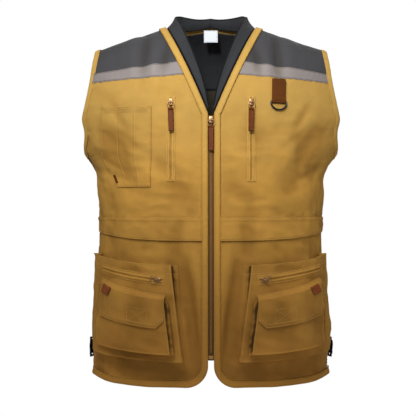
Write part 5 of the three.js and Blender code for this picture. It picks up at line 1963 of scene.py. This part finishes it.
@dataclass
class ChestPocket:
    """The flat patch pocket on the wearer's right, with pen slots and a slanted corner."""

    tailor: Tailor
    near: float = 113.0
    far: float = 211.0
    top: float = 164.0
    bottom: float = 318.0
    cut_height: float = 60.0
    cut_width: float = 33.0
    lift: float = 1.52
    thick: float = 1.2
    slots: tuple[float, float] = (0.34, 0.66)

    def build(self) -> None:
        """Builds the pocket, its stitches and its tag."""
        height, width = self.bottom - self.top, self.far - self.near

        def surface(u: Array, v: Array) -> Array:
            """Points of the pocket, from its outer edge to its inner one."""
            cut = self.cut_width * np.maximum(1 - v * height / self.cut_height, 0)
            x = -self.near - (width - cut) * (1 - u)
            sag = 3.2 * np.abs(np.sin(math.pi * u / 0.33)) * smoothstep(v, 0.9, 1.0)
            z = -self.bottom + v * height - 0.6 * sag
            bulge = 1.2 * sag + 0.5 * np.sin(math.pi * u) * np.sin(math.pi * v)
            around, climb = FORM.spot(x, z)
            return FORM.cloth(around, climb, self.lift + self.thick + bulge)

        us, vs = shares(52, width, LIPS), shares(76, height, LIPS)
        grid = net(surface, us, vs)
        u, v = np.meshgrid(us, vs)
        around, climb = FORM.spot(-self.near - width * (1 - u), -self.bottom + v * height)
        fold = hollows(around, climb)
        # Painted shade along the pen slots' stitch lines.
        for slot in self.slots:
            fold = fold - 0.5 * bell(u, slot, 0.012)
        made = self.tailor.cloth(
            "pen_pocket", grid, [CANVAS], ["chest_pocket"], thick=self.thick,
            seam=Seam(rows=(ROW,), roll=0.7, pucker=0.35), rests_on=["chest_front_right"], fold=fold
        )
        thread = Stitching()
        thread.edges(made, ROW, Side.LEFT, Side.RIGHT, Side.BOTTOM)
        thread.edges(made, 9.5, Side.TOP).edges(made, 1.8, Side.TOP)
        for slot in self.slots:
            thread.along(made.chord((slot, 0.02), (slot, 0.985), 60))
        thread.make(self.tailor, "pen_pocket_stitches", THREAD)
        self.tag()

    def tag(self) -> None:
        """Sews a narrow leather tag into the pocket's slanted corner."""
        middle, turn = (-181.0, -302.0), 28.0
        wide, long = 4.0, 17.0

        def surface(u: Array, v: Array) -> Array:
            """Points of the tag."""
            px, py = (u - 0.5) * wide, (v - 0.5) * long
            x = middle[0] + px * cos_of(turn) - py * sin_of(turn)
            z = middle[1] + px * sin_of(turn) + py * cos_of(turn)
            around, climb = FORM.spot(x, z)
            return FORM.cloth(around, climb, 1.92 + 1.2 + 0.4 + 1.3)

        grid = net(surface, shares(6, wide, (0.3, 0.8)), shares(16, long, (0.3, 0.8)))
        self.tailor.cloth(
            "pen_pocket_tag", grid, [LEATHER], ["chest_pocket_tag"], thick=1.5,
            seam=Seam(rows=(), roll=0.5, pucker=0.0), held=None
        )


@dataclass
class RingStrap:
    """A brown strap folded round the bar of a steel ring, on the wearer's left."""

    tailor: Tailor
    x: float = 126.0
    width: float = 25.4
    top: float = 112.0
    length: float = 48.0
    thick: float = 1.3
    wire: float = 3.0
    ring_depth: float = 17.0
    layer: float = 0.8

    def build(self) -> None:
        """Builds the strap and the ring."""
        bar = self.wire / 2 + 0.4
        outer = bar + self.thick
        stand = outer + 0.4
        around, climb = FORM.spot(np.float64(self.x + 2), np.float64(-self.top - self.length + outer))
        at = FORM.frame_on(float(around), float(climb), stand)
        rise = self.length - outer
        radius = bar + self.thick / 2
        inner, front = -stand + self.layer + self.thick / 2, -stand + self.layer + self.thick * 1.5
        bends = np.radians(np.linspace(-52, -308, 19))
        under = [(rise, inner), (rise * 0.5, inner), (rise * 0.2, inner)]
        bend = [(radius * math.cos(b), radius * math.sin(b)) for b in bends]
        over = [
            (rise * 0.2, front + 1.9), (rise * 0.4, front + 1.1), (rise * 0.75, front + 0.4), (rise, front)
        ]
        route = np.array(under + bend + over)
        run = run_of(route)

        def surface(u: Array, v: Array) -> Array:
            """Points of the folded strap in its own frame."""
            y, z = (np.interp(v * run[-1], run, column) for column in route.T)
            return np.stack([(u - 0.5) * self.width, y, z + 0.25 * np.sin(u * math.pi) * (z > -1)], axis=-1)

        vs = np.unique(np.concatenate([run / run[-1], np.linspace(0, 1, 80)]))
        local = surface(*np.meshgrid(shares(14, self.width, NARROW_LIPS), vs))
        grid = ClothGrid(into_frame(local, at)[::-1].copy())
        grid = grid if grid.normals[2, 5] @ np.array(at)[:3, 2] > 0 else grid.turned()
        seam = Seam(sides=(Side.LEFT, Side.RIGHT), rows=(), roll=0.4, pucker=0.0)
        made = self.tailor.cloth(
            "ring_loop", grid, [BROWN_STRAP], ["ring_strap"], thick=self.thick, offset=0.0, seam=seam,
            held="hung", rests_on=["chest_front_left"]
        )
        thread = Stitching(pitch=2.6, length=2.0, rise=self.thick / 2 + 0.1)
        for level in (0.02, 0.075, 0.27):
            thread.along(made.chord((0.08, level), (0.92, level), 16))
        thread.make(self.tailor, "ring_loop_stitches", BROWN_THREAD)
        half = self.width / 2 + 0.4 + self.wire / 2 + 0.3
        shoulder = 2.4
        bow = self.ring_depth - self.wire / 2 - shoulder
        turns = np.radians(np.linspace(0, 180, 30))
        bow_line = np.stack([-half * np.cos(turns), -shoulder - bow * np.sin(turns)], axis=-1)
        bar_line = np.stack([np.linspace(half - 0.7, 0.7 - half, 14), np.zeros(14)], axis=-1)
        outline = np.concatenate([bar_line, bow_line])[::-1]
        self.tailor.solid(
            "dee_ring", ring_of(outline, self.wire * 1.15, 12), [STEEL], ["ring"], at=at, body="ring"
        )


@dataclass(frozen=True)
class PocketFace:
    """The outline of a pocket's face on the lower front."""

    top: float
    bottom: float
    near_top: float
    near_bottom: float
    far: float
    top_rise: float
    bottom_rise: float

    def near(self, climb: Array, spread: float = 0.0) -> Array:
        """Angle of the inner edge at a climb."""
        low, high = FORM.climb_of(self.bottom), FORM.climb_of(self.top)
        x = lerp(self.near_bottom, self.near_top - spread, (climb - low) / (high - low))
        return FORM.around_at(x, climb)

    def share(self, around: Array) -> Array:
        """Share of the way from the inner to the outer edge."""
        start = self.near(np.float64(FORM.climb_of(self.bottom)))
        return np.clip((around - start) / (self.far - start), 0, 1)

    def low(self, around: Array) -> Array:
        """Climb of the lower edge."""
        return FORM.climb_of(self.bottom) + self.bottom_rise * self.share(around) ** 1.5

    def high(self, around: Array) -> Array:
        """Climb of the upper edge."""
        return FORM.climb_of(self.top) + self.top_rise * self.share(around) ** 1.8

    def place(self, spread: float = 0.0) -> Callable[[Array, Array], Place]:
        """Places of the face, or of the foot of its gusset."""
        return between(lambda c: self.near(c, spread), steady(self.far), self.low, self.high)

    def shares_at(self, around: Array, climb: Array) -> tuple[Array, Array]:
        """Shares across and up of a place."""
        near = self.near(climb)
        u = np.clip((around - near) / (self.far - near), 0, 1)
        low, high = self.low(around), self.high(around)
        return u, np.clip((climb - low) / (high - low), 0, 1)


CARGO_FACE = PocketFace(
    top=466.0, bottom=646.0, near_top=73.0, near_bottom=51.0, far=73.0, top_rise=20.0, bottom_rise=14.0
)
POUCH_FACE = PocketFace(
    top=534.0, bottom=631.0, near_top=83.0, near_bottom=71.0, far=62.0, top_rise=30.0, bottom_rise=14.0
)


@dataclass
class CargoPocket:
    """A bellows pocket with a zip, a pouch, a flap over it and a square label."""

    tailor: Tailor
    stand: float = 19.0
    gape: float = 13.0
    gusset: float = 11.0
    layer: float = 0.8
    pouch_stand: float = 13.0
    flap_top: float = 521.0
    flap_bottom: float = 583.0
    flap_near: float = 82.0
    flap_far: float = 61.0
    flap_thick: float = 1.6
    corner: float = 15.0
    zip_drop: float = 494.0
    zip_near: float = 87.0
    zip_far: float = 197.0
    zip_rise: float = 19.0
    per_degree: float = 3.9

    GUSSET = np.array([0, 0.06, 0.15, 0.25, 0.35, 0.45, 0.5, 0.55, 0.65, 0.75, 0.85, 0.94])

    def face_lift(self, around: Array, climb: Array) -> Array:
        """Height of the cargo pocket's face over the panel."""
        u, v = CARGO_FACE.shares_at(around, climb)
        far = lerp(self.stand * 0.5, self.gape, v)
        return lerp(self.stand, far, u**1.5) + 2.5 * sin_of(180 * u)

    def pouch_lift(self, around: Array, climb: Array) -> Array:
        """Height of the pouch's face."""
        u, v = POUCH_FACE.shares_at(around, climb)
        full = lerp(self.pouch_stand, self.pouch_stand * 0.8, v) * lerp(1, 0.25, u**2)
        return self.face_lift(around, climb) + self.layer + full + 2 * sin_of(180 * u)

    def flap_share(self, around: Array) -> Array:
        """Share of the way across the flap."""
        start = FORM.around_at(np.float64(self.flap_near), np.float64(FORM.climb_of(self.flap_bottom)))
        return np.clip((around - start) / (self.flap_far - start), 0, 1)

    def flap_high(self, around: Array) -> Array:
        """Climb of the flap's sewn edge."""
        return FORM.climb_of(self.flap_top) + 30.0 * self.flap_share(around) ** 1.3

    def flap_low(self, around: Array) -> Array:
        """Climb of the flap's free edge, with cut corners."""
        share = self.flap_share(around)
        cut = np.maximum(1 - np.minimum(share, 1 - share) / 0.09, 0) * self.corner
        return FORM.climb_of(self.flap_bottom) + 24.0 * share**1.6 + cut

    def flap_lift(self, around: Array, climb: Array) -> Array:
        """Height of the flap's inner face."""
        rise = smoothstep(self.flap_high(around) - climb, 0, 10)
        base = self.face_lift(around, climb)
        return base + self.layer * 1.6 + rise * (self.pouch_lift(around, climb) - base)

    def tray(
        self, face: PocketFace, gloom: float, spread: float, base: Lift, lift: Lift, side: int,
        pleat: float, bellows: float, steep: float, size: tuple[int, int]
    ) -> tuple[ClothGrid, Array]:
        """A pocket's face with a pleated gusset on three sides, open at the top.

        Args:
            face: Outline of the face.
            gloom: Share of the gusset that lies deepest in shade.
            spread: How much nearer the middle the gusset is sewn at its top.
            base: Height where the gusset is sewn.
            lift: Height of the face.
            side: The wearer's side.
            pleat: How far the gusset tucks in under the face.
            bellows: How far its middle fold stands out again.
            steep: How late the gusset rises to the face.
            size: Steps across and up the face.

        Returns:
            The net, and the painted shade of its hollows, with a painted highlight on the face's rim.
        """
        wide = np.concatenate([self.GUSSET - 1, shares(size[0], 120.0, LIPS), 2 - self.GUSSET[::-1]])
        tall = np.concatenate([self.GUSSET - 1, shares(size[1], 120.0, LIPS)])
        inner, outer = face.place(spread), face.place(0.0)
        u, v = np.meshgrid(wide if side > 0 else 1 - wide, tall)
        near, far, low = np.clip(1 + u, 0, 1), np.clip(2 - u, 0, 1), np.clip(1 + v, 0, 1)
        s = np.minimum(np.minimum(near, far), low)
        uf, vf = np.clip(u, 0, 1), np.clip(v, 0, 1)
        a0, c0 = inner(uf, vf)
        a1, c1 = outer(uf, vf)
        around, climb = lerp(a0, a1, s), lerp(c0, c1, s)
        under = pleat * np.sin(math.pi * s**0.8) * (s < 1)
        tuck = under - bellows * bell(s, 0.5, 0.12) * (s < 1)
        around = around + tuck / self.per_degree * (
            (near < 1).astype(float) * (near <= low) - (far < 1) * (far <= low)
        )
        climb = climb + under * (low < 1) * (low < np.minimum(near, far))
        edge = np.minimum(np.minimum(uf, 1 - uf) * 120, vf * 120)
        ridge = 1.3 * bell(edge, 0.0, 2.2) * (s >= 1)
        ticks = PUCKER_WAVES.at(climb * 0.8, around * 1.2) * np.sin(math.pi * s) * (s < 1)
        high = lerp(base(around, climb), lift(a1, c1) + ridge, s**steep) + 0.45 * ticks
        grid = ClothGrid(FORM.cloth(around * side, climb, high))
        # Painted shade: darker down the gusset and on its puckers, a painted shadow in the slot under the
        # face's edge, a painted highlight on the face's rim.
        slot = bell(s, gloom, 0.12) * (near < 1) * (near < 0.98 * low)
        shade = np.clip(hollows(a1, c1, side), -1, 1) - 1.1 * (s < 1) * np.sin(math.pi * s)
        shade = shade + 0.6 * ridge - 2.6 * slot + 0.6 * ticks * (1 - slot)
        return grid, shade

    def build(self, side: int) -> None:
        """Builds the whole pocket of one side."""
        word = name_side(side)
        base = self.layer * 1.5
        near = Side.LEFT if side > 0 else Side.RIGHT
        grid, shade = self.tray(
            CARGO_FACE, 0.42, self.gusset, lambda a, c: base + 0 * a, self.face_lift, side, pleat=8.0,
            bellows=0.0, steep=2.2, size=(64, 76)
        )
        seam = Seam(sides=(Side.TOP,), rows=(ROW, 17.0), roll=0.9, pucker=0.5, reach=9.0)
        cargo = self.tailor.cloth(
            f"cargo_bag_{word}", grid, [CANVAS], [f"cargo_pocket_{word}"], seam=seam, held="hung",
            rests_on=[f"lower_front_{word}"], fold=shade
        )
        thread = Stitching().along(cargo.row(Side.TOP, ROW)).along(cargo.row(Side.TOP, 17.0))
        edge = self.gusset_share(cargo, near)
        thread.along(cargo.chord((edge, 0.16), (edge, 0.99), 60))
        thread.make(self.tailor, f"cargo_stitches_{word}", THREAD)
        grid, shade = self.tray(
            POUCH_FACE, 0.7, 3.0, lambda a, c: self.face_lift(a, c) + self.layer * 1.2, self.pouch_lift,
            side, pleat=5.0, bellows=11.0, steep=0.9, size=(57, 54)
        )
        pouch = self.tailor.cloth(
            f"bellows_pouch_{word}", grid, [CANVAS], [f"flap_pouch_{word}"], thick=1.5,
            seam=Seam(sides=(Side.TOP,)), held="hung", rests_on=[f"cargo_bag_{word}"], fold=shade
        )
        thread = Stitching()
        edge = self.gusset_share(pouch, near)
        thread.along(pouch.chord((edge, 0.2), (edge, 0.99), 50))
        thread.make(self.tailor, f"pouch_stitches_{word}", THREAD)
        self.flap(side, word, near)
        self.zip(side, word)
        self.label(side, word)

    def gusset_share(self, grid: ClothGrid, near: Side) -> float:
        """Share of a net's columns where the face starts, just inside its edge."""
        inside = 3
        share = (len(self.GUSSET) + inside) / (grid.points.shape[1] - 1)
        return share if near is Side.LEFT else 1 - share

    def flap(self, side: int, word: str, near: Side) -> None:
        """The flap, with a hem, double stitches and a box of stitches."""
        place = between(
            lambda c: FORM.around_at(self.flap_near, c), steady(self.flap_far), self.flap_low,
            self.flap_high
        )

        def lift(around: Array, climb: Array) -> Array:
            """Height of the flap's face, which curls a little at its free edge."""
            below = np.clip((climb - self.flap_low(around)) / 20, 0, 1)
            curl = 1.6 * (1 - below) ** 2 * (0.6 + 0.4 * sin_of(around * 14))
            return self.flap_lift(around, climb) + self.flap_thick + curl

        us = np.unique(np.concatenate([shares(72, 130.0, LIPS), [0.09, 0.91]]))
        grid, fold = creased_net(place, lift, us, shares(40, 62.0, LIPS), side)
        seam = Seam(rows=(ROW,), roll=1.0, groove=0.35, pucker=0.35, reach=7.0)
        made = self.tailor.cloth(
            f"pouch_flap_{word}", grid, [CANVAS], [f"flap_{word}"], thick=self.flap_thick, seam=seam,
            held="hung", rests_on=[f"bellows_pouch_{word}"], fold=fold
        )
        thread = Stitching()
        thread.edges(made, ROW)
        thread.along(made.row(Side.BOTTOM, 8.0, 0.08, 0.92)).along(made.row(Side.TOP, 7.5))
        first, last = (0.235, 0.465) if near is Side.LEFT else (0.535, 0.765)
        low, high = 0.16, 0.5
        corners = [(first, low), (last, low), (last, high), (first, high), (first, low), (last, high)]
        for a, b in zip(corners, corners[1:], strict=False):
            thread.along(made.chord(a, b, 14))
        thread.along(made.chord((last, low), (first, high), 14))
        far = (0.75, 0.92, 0.84) if near is Side.LEFT else (0.25, 0.08, 0.16)
        thread.along(made.chord((far[0], 0.2), (far[2], 0.66), 14))
        thread.along(made.chord((far[0], 0.2), (far[1], 0.25), 10))
        thread.make(self.tailor, f"flap_stitches_{word}", THREAD)

    def zip(self, side: int, word: str) -> None:
        """The zip on the pocket's face, between two folded lips."""
        drop = np.float64(FORM.climb_of(self.zip_drop))
        start = float(FORM.around_at(np.float64(self.zip_near), drop))
        stop = float(FORM.around_at(np.float64(self.zip_far), drop))

        def line(around: Array) -> Array:
            """Climb of the zip's middle."""
            share = np.clip((around - start) / (stop - start), 0, 1)
            return FORM.climb_of(self.zip_drop) + self.zip_rise * share**1.25

        def place(u: Array, v: Array) -> Place:
            """A place of the zip's lips."""
            around = lerp(start - 1.0, stop + 0.6, u)
            return around, line(around) + lerp(-9.0, 9.0, v)

        def lift(around: Array, climb: Array) -> Array:
            """Two lips with the coil lower between them."""
            off = np.abs(climb - line(around))
            inside = smoothstep(np.minimum(around - start + 0.4, stop - around + 0.4), 0.0, 0.6)
            lips = 1.5 * bell(off, 3.4, 1.7)
            return self.face_lift(around, climb) + 1.0 + inside * (lips - 1.1 * bell(off, 0.0, 1.4))

        grid = net(laid(place, lift, side), shares(70, 125.0, LIPS), shares(22, 18.0, (0.4, 1.0)))
        seam = Seam(rows=(), roll=0.6, pucker=0.3, reach=5.0)
        made = self.tailor.cloth(
            f"pocket_zip_lips_{word}", grid, [CANVAS_TRIM], [f"pocket_zip_{word}"], thick=0.8, seam=seam,
            rests_on=[f"cargo_bag_{word}"], held="stretched"
        )
        thread = Stitching()
        for level in (0.07, 0.93):
            thread.along(made.chord((0.02, level), (0.98, level), 40))
        for share in (0.02, 0.98):
            thread.along(made.chord((share, 0.07), (share, 0.93), 8))
        thread.make(self.tailor, f"pocket_zip_stitches_{word}", THREAD)
        teeth = Stitching(pitch=1.6, length=2.1, wide=1.0, high=0.9, rise=0.3)
        teeth.along(made.chord((0.06, 0.5), (0.94, 0.5), 60))
        teeth.make(self.tailor, f"pocket_zip_teeth_{word}", COIL, across=True)
        around = start + 2.4
        place_lift = float(self.face_lift(np.float64(around), line(np.float64(around))))
        at = FORM.frame_on(around, float(line(np.float64(around))), place_lift + self.layer * 2 + 1.0, 94)
        ZipPull(self.tailor, "pocket_zip", f"pocket_zip_pull_{word}", at, side, 0.0, f"_{word}").build()

    def label(self, side: int, word: str) -> None:
        """A bare square of leather near the flap's outer top corner."""
        x0, drop, size, turn = 182.0, 514.0, 17.0, 24.0

        def surface(u: Array, v: Array) -> Array:
            """Points of the label, with a pressed frame inside its edge."""
            px, py = (u - 0.5) * size * side, (v - 0.5) * size
            x = x0 + px * cos_of(turn) - py * sin_of(turn)
            z = -drop + px * sin_of(turn) + py * cos_of(turn)
            around, climb = FORM.spot(x, z)
            rim = np.minimum(np.minimum(u, 1 - u), np.minimum(v, 1 - v)) * size
            press = -0.25 * bell(rim, 4.0, 0.5)
            lift = self.flap_lift(around, climb) + self.flap_thick + self.layer * 2 + 1.2 + press
            return FORM.cloth(around * side, climb, lift)

        grid = net(surface, shares(24, size, (0.3, 0.9)), shares(24, size, (0.3, 0.9)))
        made = self.tailor.cloth(
            f"leather_label_{word}", grid, [LEATHER_PATCH], [f"pocket_label_{word}"], thick=1.4,
            seam=Seam(rows=(1.6,), roll=0.5, groove=0.1, pucker=0.0), held=None
        )
        thread = Stitching(pitch=2.1, length=1.5, wide=0.45, high=0.35)
        thread.edges(made, 1.6)
        thread.make(self.tailor, f"leather_label_stitches_{word}", BROWN_THREAD)


@dataclass
class SideAdjuster:
    """A navy strap at the side of the hem, woven through a ladder buckle."""

    tailor: Tailor
    drop: float = 635.0
    width: float = 30.0
    start: float = 89.0
    stop: float = 128.0
    thick: float = 1.4
    stand: float = 6.0
    buckle_at: float = 100.0
    buckle_width: float = 38.0
    buckle_height: float = 40.0
    bar: float = 4.0
    buckle_thick: float = 3.4
    layer: float = 0.8

    def build(self, side: int) -> None:
        """Builds the strap and the buckle of one side."""
        word = name_side(side)
        climb0 = FORM.climb_of(self.drop)
        at = FORM.frame_on(self.buckle_at, climb0, self.stand)
        back = np.array(at.inverted())
        pitch = (self.buckle_width - self.bar) / 2

        def lift(around: Array, climb: Array) -> Array:
            """The strap goes over the buckle's middle bar and under its outer ones."""
            points = FORM.point(around, np.full(np.shape(around), climb0))
            far = np.abs(points @ back[0, :3] + back[0, 3])
            over = 1 - smoothstep(far, self.bar / 2 + 0.3, pitch - self.bar / 2 - 0.3)
            ends = smoothstep(far, pitch, pitch * 2)
            low = lerp(self.stand - self.thick - 0.8, self.layer, ends)
            return lerp(low, self.stand + self.buckle_thick + 0.4, over) + self.thick

        half = self.width / 2
        place = between(steady(self.start), steady(self.stop), steady(climb0 - half), steady(climb0 + half))
        grid = net(laid(place, lift, side), np.linspace(0, 1, 150), shares(14, self.width, NARROW_LIPS))
        seam = Seam(sides=(Side.BOTTOM, Side.TOP), rows=(), roll=0.35, pucker=0.0)
        self.tailor.cloth(
            f"adjuster_strap_{word}", grid, [NAVY_STRAP], [f"side_strap_{word}"], thick=self.thick,
            seam=seam, rests_on=["back"], held="stretched"
        )
        self.tail(side, word, climb0)
        bm = bmesh.new()
        bmesh.ops.create_grid(bm, x_segments=5, y_segments=3, size=0.5)
        half_w, half_h = self.buckle_width / 2, self.buckle_height / 2
        columns = [-half_w, self.bar - half_w, -self.bar / 2, self.bar / 2, half_w - self.bar, half_w]
        rows = [-half_h, self.bar - half_h, half_h - self.bar, half_h]
        centres = [(face, face.calc_center_median()) for face in bm.faces]
        slots = [face for face, c in centres if abs(abs(c.x) - 0.2) < 0.05 and abs(c.y) < 0.1]
        for v in bm.verts:
            v.co = (columns[round((v.co.x + 0.5) * 5)], rows[round((v.co.y + 0.5) * 3)], 0)
        bmesh.ops.delete(bm, geom=slots, context="FACES_ONLY")
        bmesh.ops.solidify(bm, geom=bm.faces, thickness=-self.buckle_thick)
        bmesh.ops.recalc_face_normals(bm, faces=bm.faces)
        low = min(v.co.z for v in bm.verts)
        bmesh.ops.translate(bm, verts=bm.verts, vec=(0, 0, -low))
        edges = [e for e in bm.edges if e.is_manifold and e.calc_face_angle(0) > 0.5]
        bmesh.ops.bevel(bm, geom=edges, offset=0.7, segments=2, profile=0.5, affect="EDGES", material=-1)
        self.tailor.solid(
            f"adjuster_buckle_{word}", bm, [PLASTIC], [f"side_buckle_{word}"], at=at, side=side
        )

    def tail(self, side: int, word: str, climb0: float) -> None:
        """The strap's loose end, which comes back over the buckle."""
        high = self.stand + self.buckle_thick + 1.0 + self.thick

        def lift(around: Array, climb: Array) -> Array:
            """The end lies over the buckle and falls to the cloth behind it."""
            fall = smoothstep(around, self.buckle_at + 9, self.buckle_at + 17)
            return lerp(high, self.layer + self.thick * 2 + 1.2, fall) - 1.5 * smoothstep(-around, -93, -90)

        half = self.width / 2
        place = between(steady(91.5), steady(121), steady(climb0 - half + 1), steady(climb0 + half - 1))
        grid = net(laid(place, lift, side), np.linspace(0, 1, 70), shares(12, self.width, NARROW_LIPS))
        self.tailor.cloth(
            f"adjuster_tail_{word}", grid, [NAVY_STRAP], thick=self.thick,
            seam=Seam(rows=(), roll=0.35, pucker=0.0), rests_on=[f"adjuster_strap_{word}"], held="stretched"
        )


@dataclass
class Studio:
    """The pale floor, the soft lights and the camera."""

    floor: float = -1.32
    camera_at: tuple[float, float, float] = (-0.0057, -2.43, -0.358)
    lens: float = 105.84

    def aim(self, light: bpy.types.Light, at: Sequence[float], target: Sequence[float]) -> None:
        """Hangs a light up and turns it to a point.

        Args:
            light: The light.
            at: Where it hangs, in metres.
            target: The point that it looks at.
        """
        lamp = bpy.data.objects.new(light.name, light)
        lamp.location = at
        lamp.rotation_euler = (Vector(target) - lamp.location).to_track_quat("-Z", "Y").to_euler()
        bpy.context.scene.collection.objects.link(lamp)

    def lamp(self, name: str, at: tuple[float, float, float], size: float, power: float) -> None:
        """A square soft light that looks at the vest."""
        light = bpy.data.lights.new(name, "AREA")
        light.size, light.energy = size, power
        self.aim(light, at, (0, 0, -0.32))

    def chest_light(self) -> None:
        """A soft spot on the chest, which leaves the hem darker."""
        light = bpy.data.lights.new("chest", "SPOT")
        light.energy, light.shadow_soft_size = 142.0, 0.14
        light.spot_size, light.spot_blend = math.radians(22), 1.0
        self.aim(light, (-0.35, -1.9, 0.75), (0.0, -0.1, -0.1))

    def build(self) -> None:
        """Builds floor, world, lights and camera."""
        recipe = Recipe("pale_floor")
        cloud = recipe.noise(recipe.object_place(), 2.0, 3.0)
        tone = recipe.mix(cloud, (0.86, 0.86, 0.86, 1), (0.9, 0.9, 0.9, 1))
        recipe.show(colour=tone, rough=0.9)
        bm = bmesh.new()
        bmesh.ops.create_circle(bm, cap_ends=True, segments=64, radius=2.6)
        bmesh.ops.translate(bm, verts=bm.verts, vec=(0, 0, self.floor))
        mesh = mesh_of("floor", bm)
        mesh.materials.append(recipe.material)
        floor = bpy.data.objects.new("floor", mesh)
        bpy.context.scene.collection.objects.link(floor)
        self.world()
        self.lamp("key", (-0.6, -1.3, 1.0), size=0.8, power=13.0)
        self.lamp("top", (0.2, -0.5, 1.3), size=0.8, power=6.0)
        self.lamp("fill", (1.7, -1.5, 0.1), size=1.4, power=4.0)
        self.lamp("rear", (0.2, 1.9, 0.9), size=1.4, power=24.0)
        self.chest_light()
        camera = bpy.data.cameras.new("camera")
        camera.lens, camera.sensor_width = self.lens, 36.0
        camera.clip_start, camera.clip_end = 0.1, 60.0
        eye = bpy.data.objects.new("camera", camera)
        eye.location = self.camera_at
        eye.rotation_euler = (math.pi / 2, 0, 0)
        bpy.context.scene.collection.objects.link(eye)
        bpy.context.scene.camera = eye
        bpy.context.scene.view_settings.view_transform = "Standard"

    def world(self) -> None:
        """A white studio: bright behind the vest, softer as light on it."""
        world = bpy.data.worlds.new("studio")
        world.use_nodes = True
        tree = world.node_tree
        tree.nodes.clear()
        seen, light = tree.nodes.new("ShaderNodeBackground"), tree.nodes.new("ShaderNodeBackground")
        seen.inputs["Color"].default_value = (1, 1, 1, 1)
        seen.inputs["Strength"].default_value = 1.0
        light.inputs["Color"].default_value = (1.0, 0.98, 0.96, 1)
        light.inputs["Strength"].default_value = 0.21
        kinds = ("MixShader", "LightPath", "OutputWorld")
        mix, path, out = (tree.nodes.new(f"ShaderNode{kind}") for kind in kinds)
        tree.links.new(path.outputs["Is Camera Ray"], mix.inputs[0])
        tree.links.new(light.outputs[0], mix.inputs[1])
        tree.links.new(seen.outputs[0], mix.inputs[2])
        tree.links.new(mix.outputs[0], out.inputs["Surface"])
        bpy.context.scene.world = world


def main() -> None:
    """Builds the vest's parts in order."""
    logging.basicConfig(level=logging.INFO, format="%(message)s")
    Studio().build()
    tailor = Tailor()
    bands, fronts, flaps = Bands(tailor), FrontPanels(tailor), WaistFlaps(tailor)
    chest, cargo, adjuster = ChestZips(tailor), CargoPocket(tailor), SideAdjuster(tailor)
    BackPanels(tailor).build()
    for side in (1, -1):
        fronts.build(side)
        bands.front(side)
        bands.armhole(side)
        flaps.build(side)
        chest.build(side)
        cargo.build(side)
        adjuster.build(side)
    bands.neck()
    Collar(tailor).build()
    FrontZip(tailor).build()
    ChestPocket(tailor).build()
    RingStrap(tailor).build()
    LOG.info("%d pieces", tailor.count)
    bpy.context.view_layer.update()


if __name__ == "__main__":
    main()
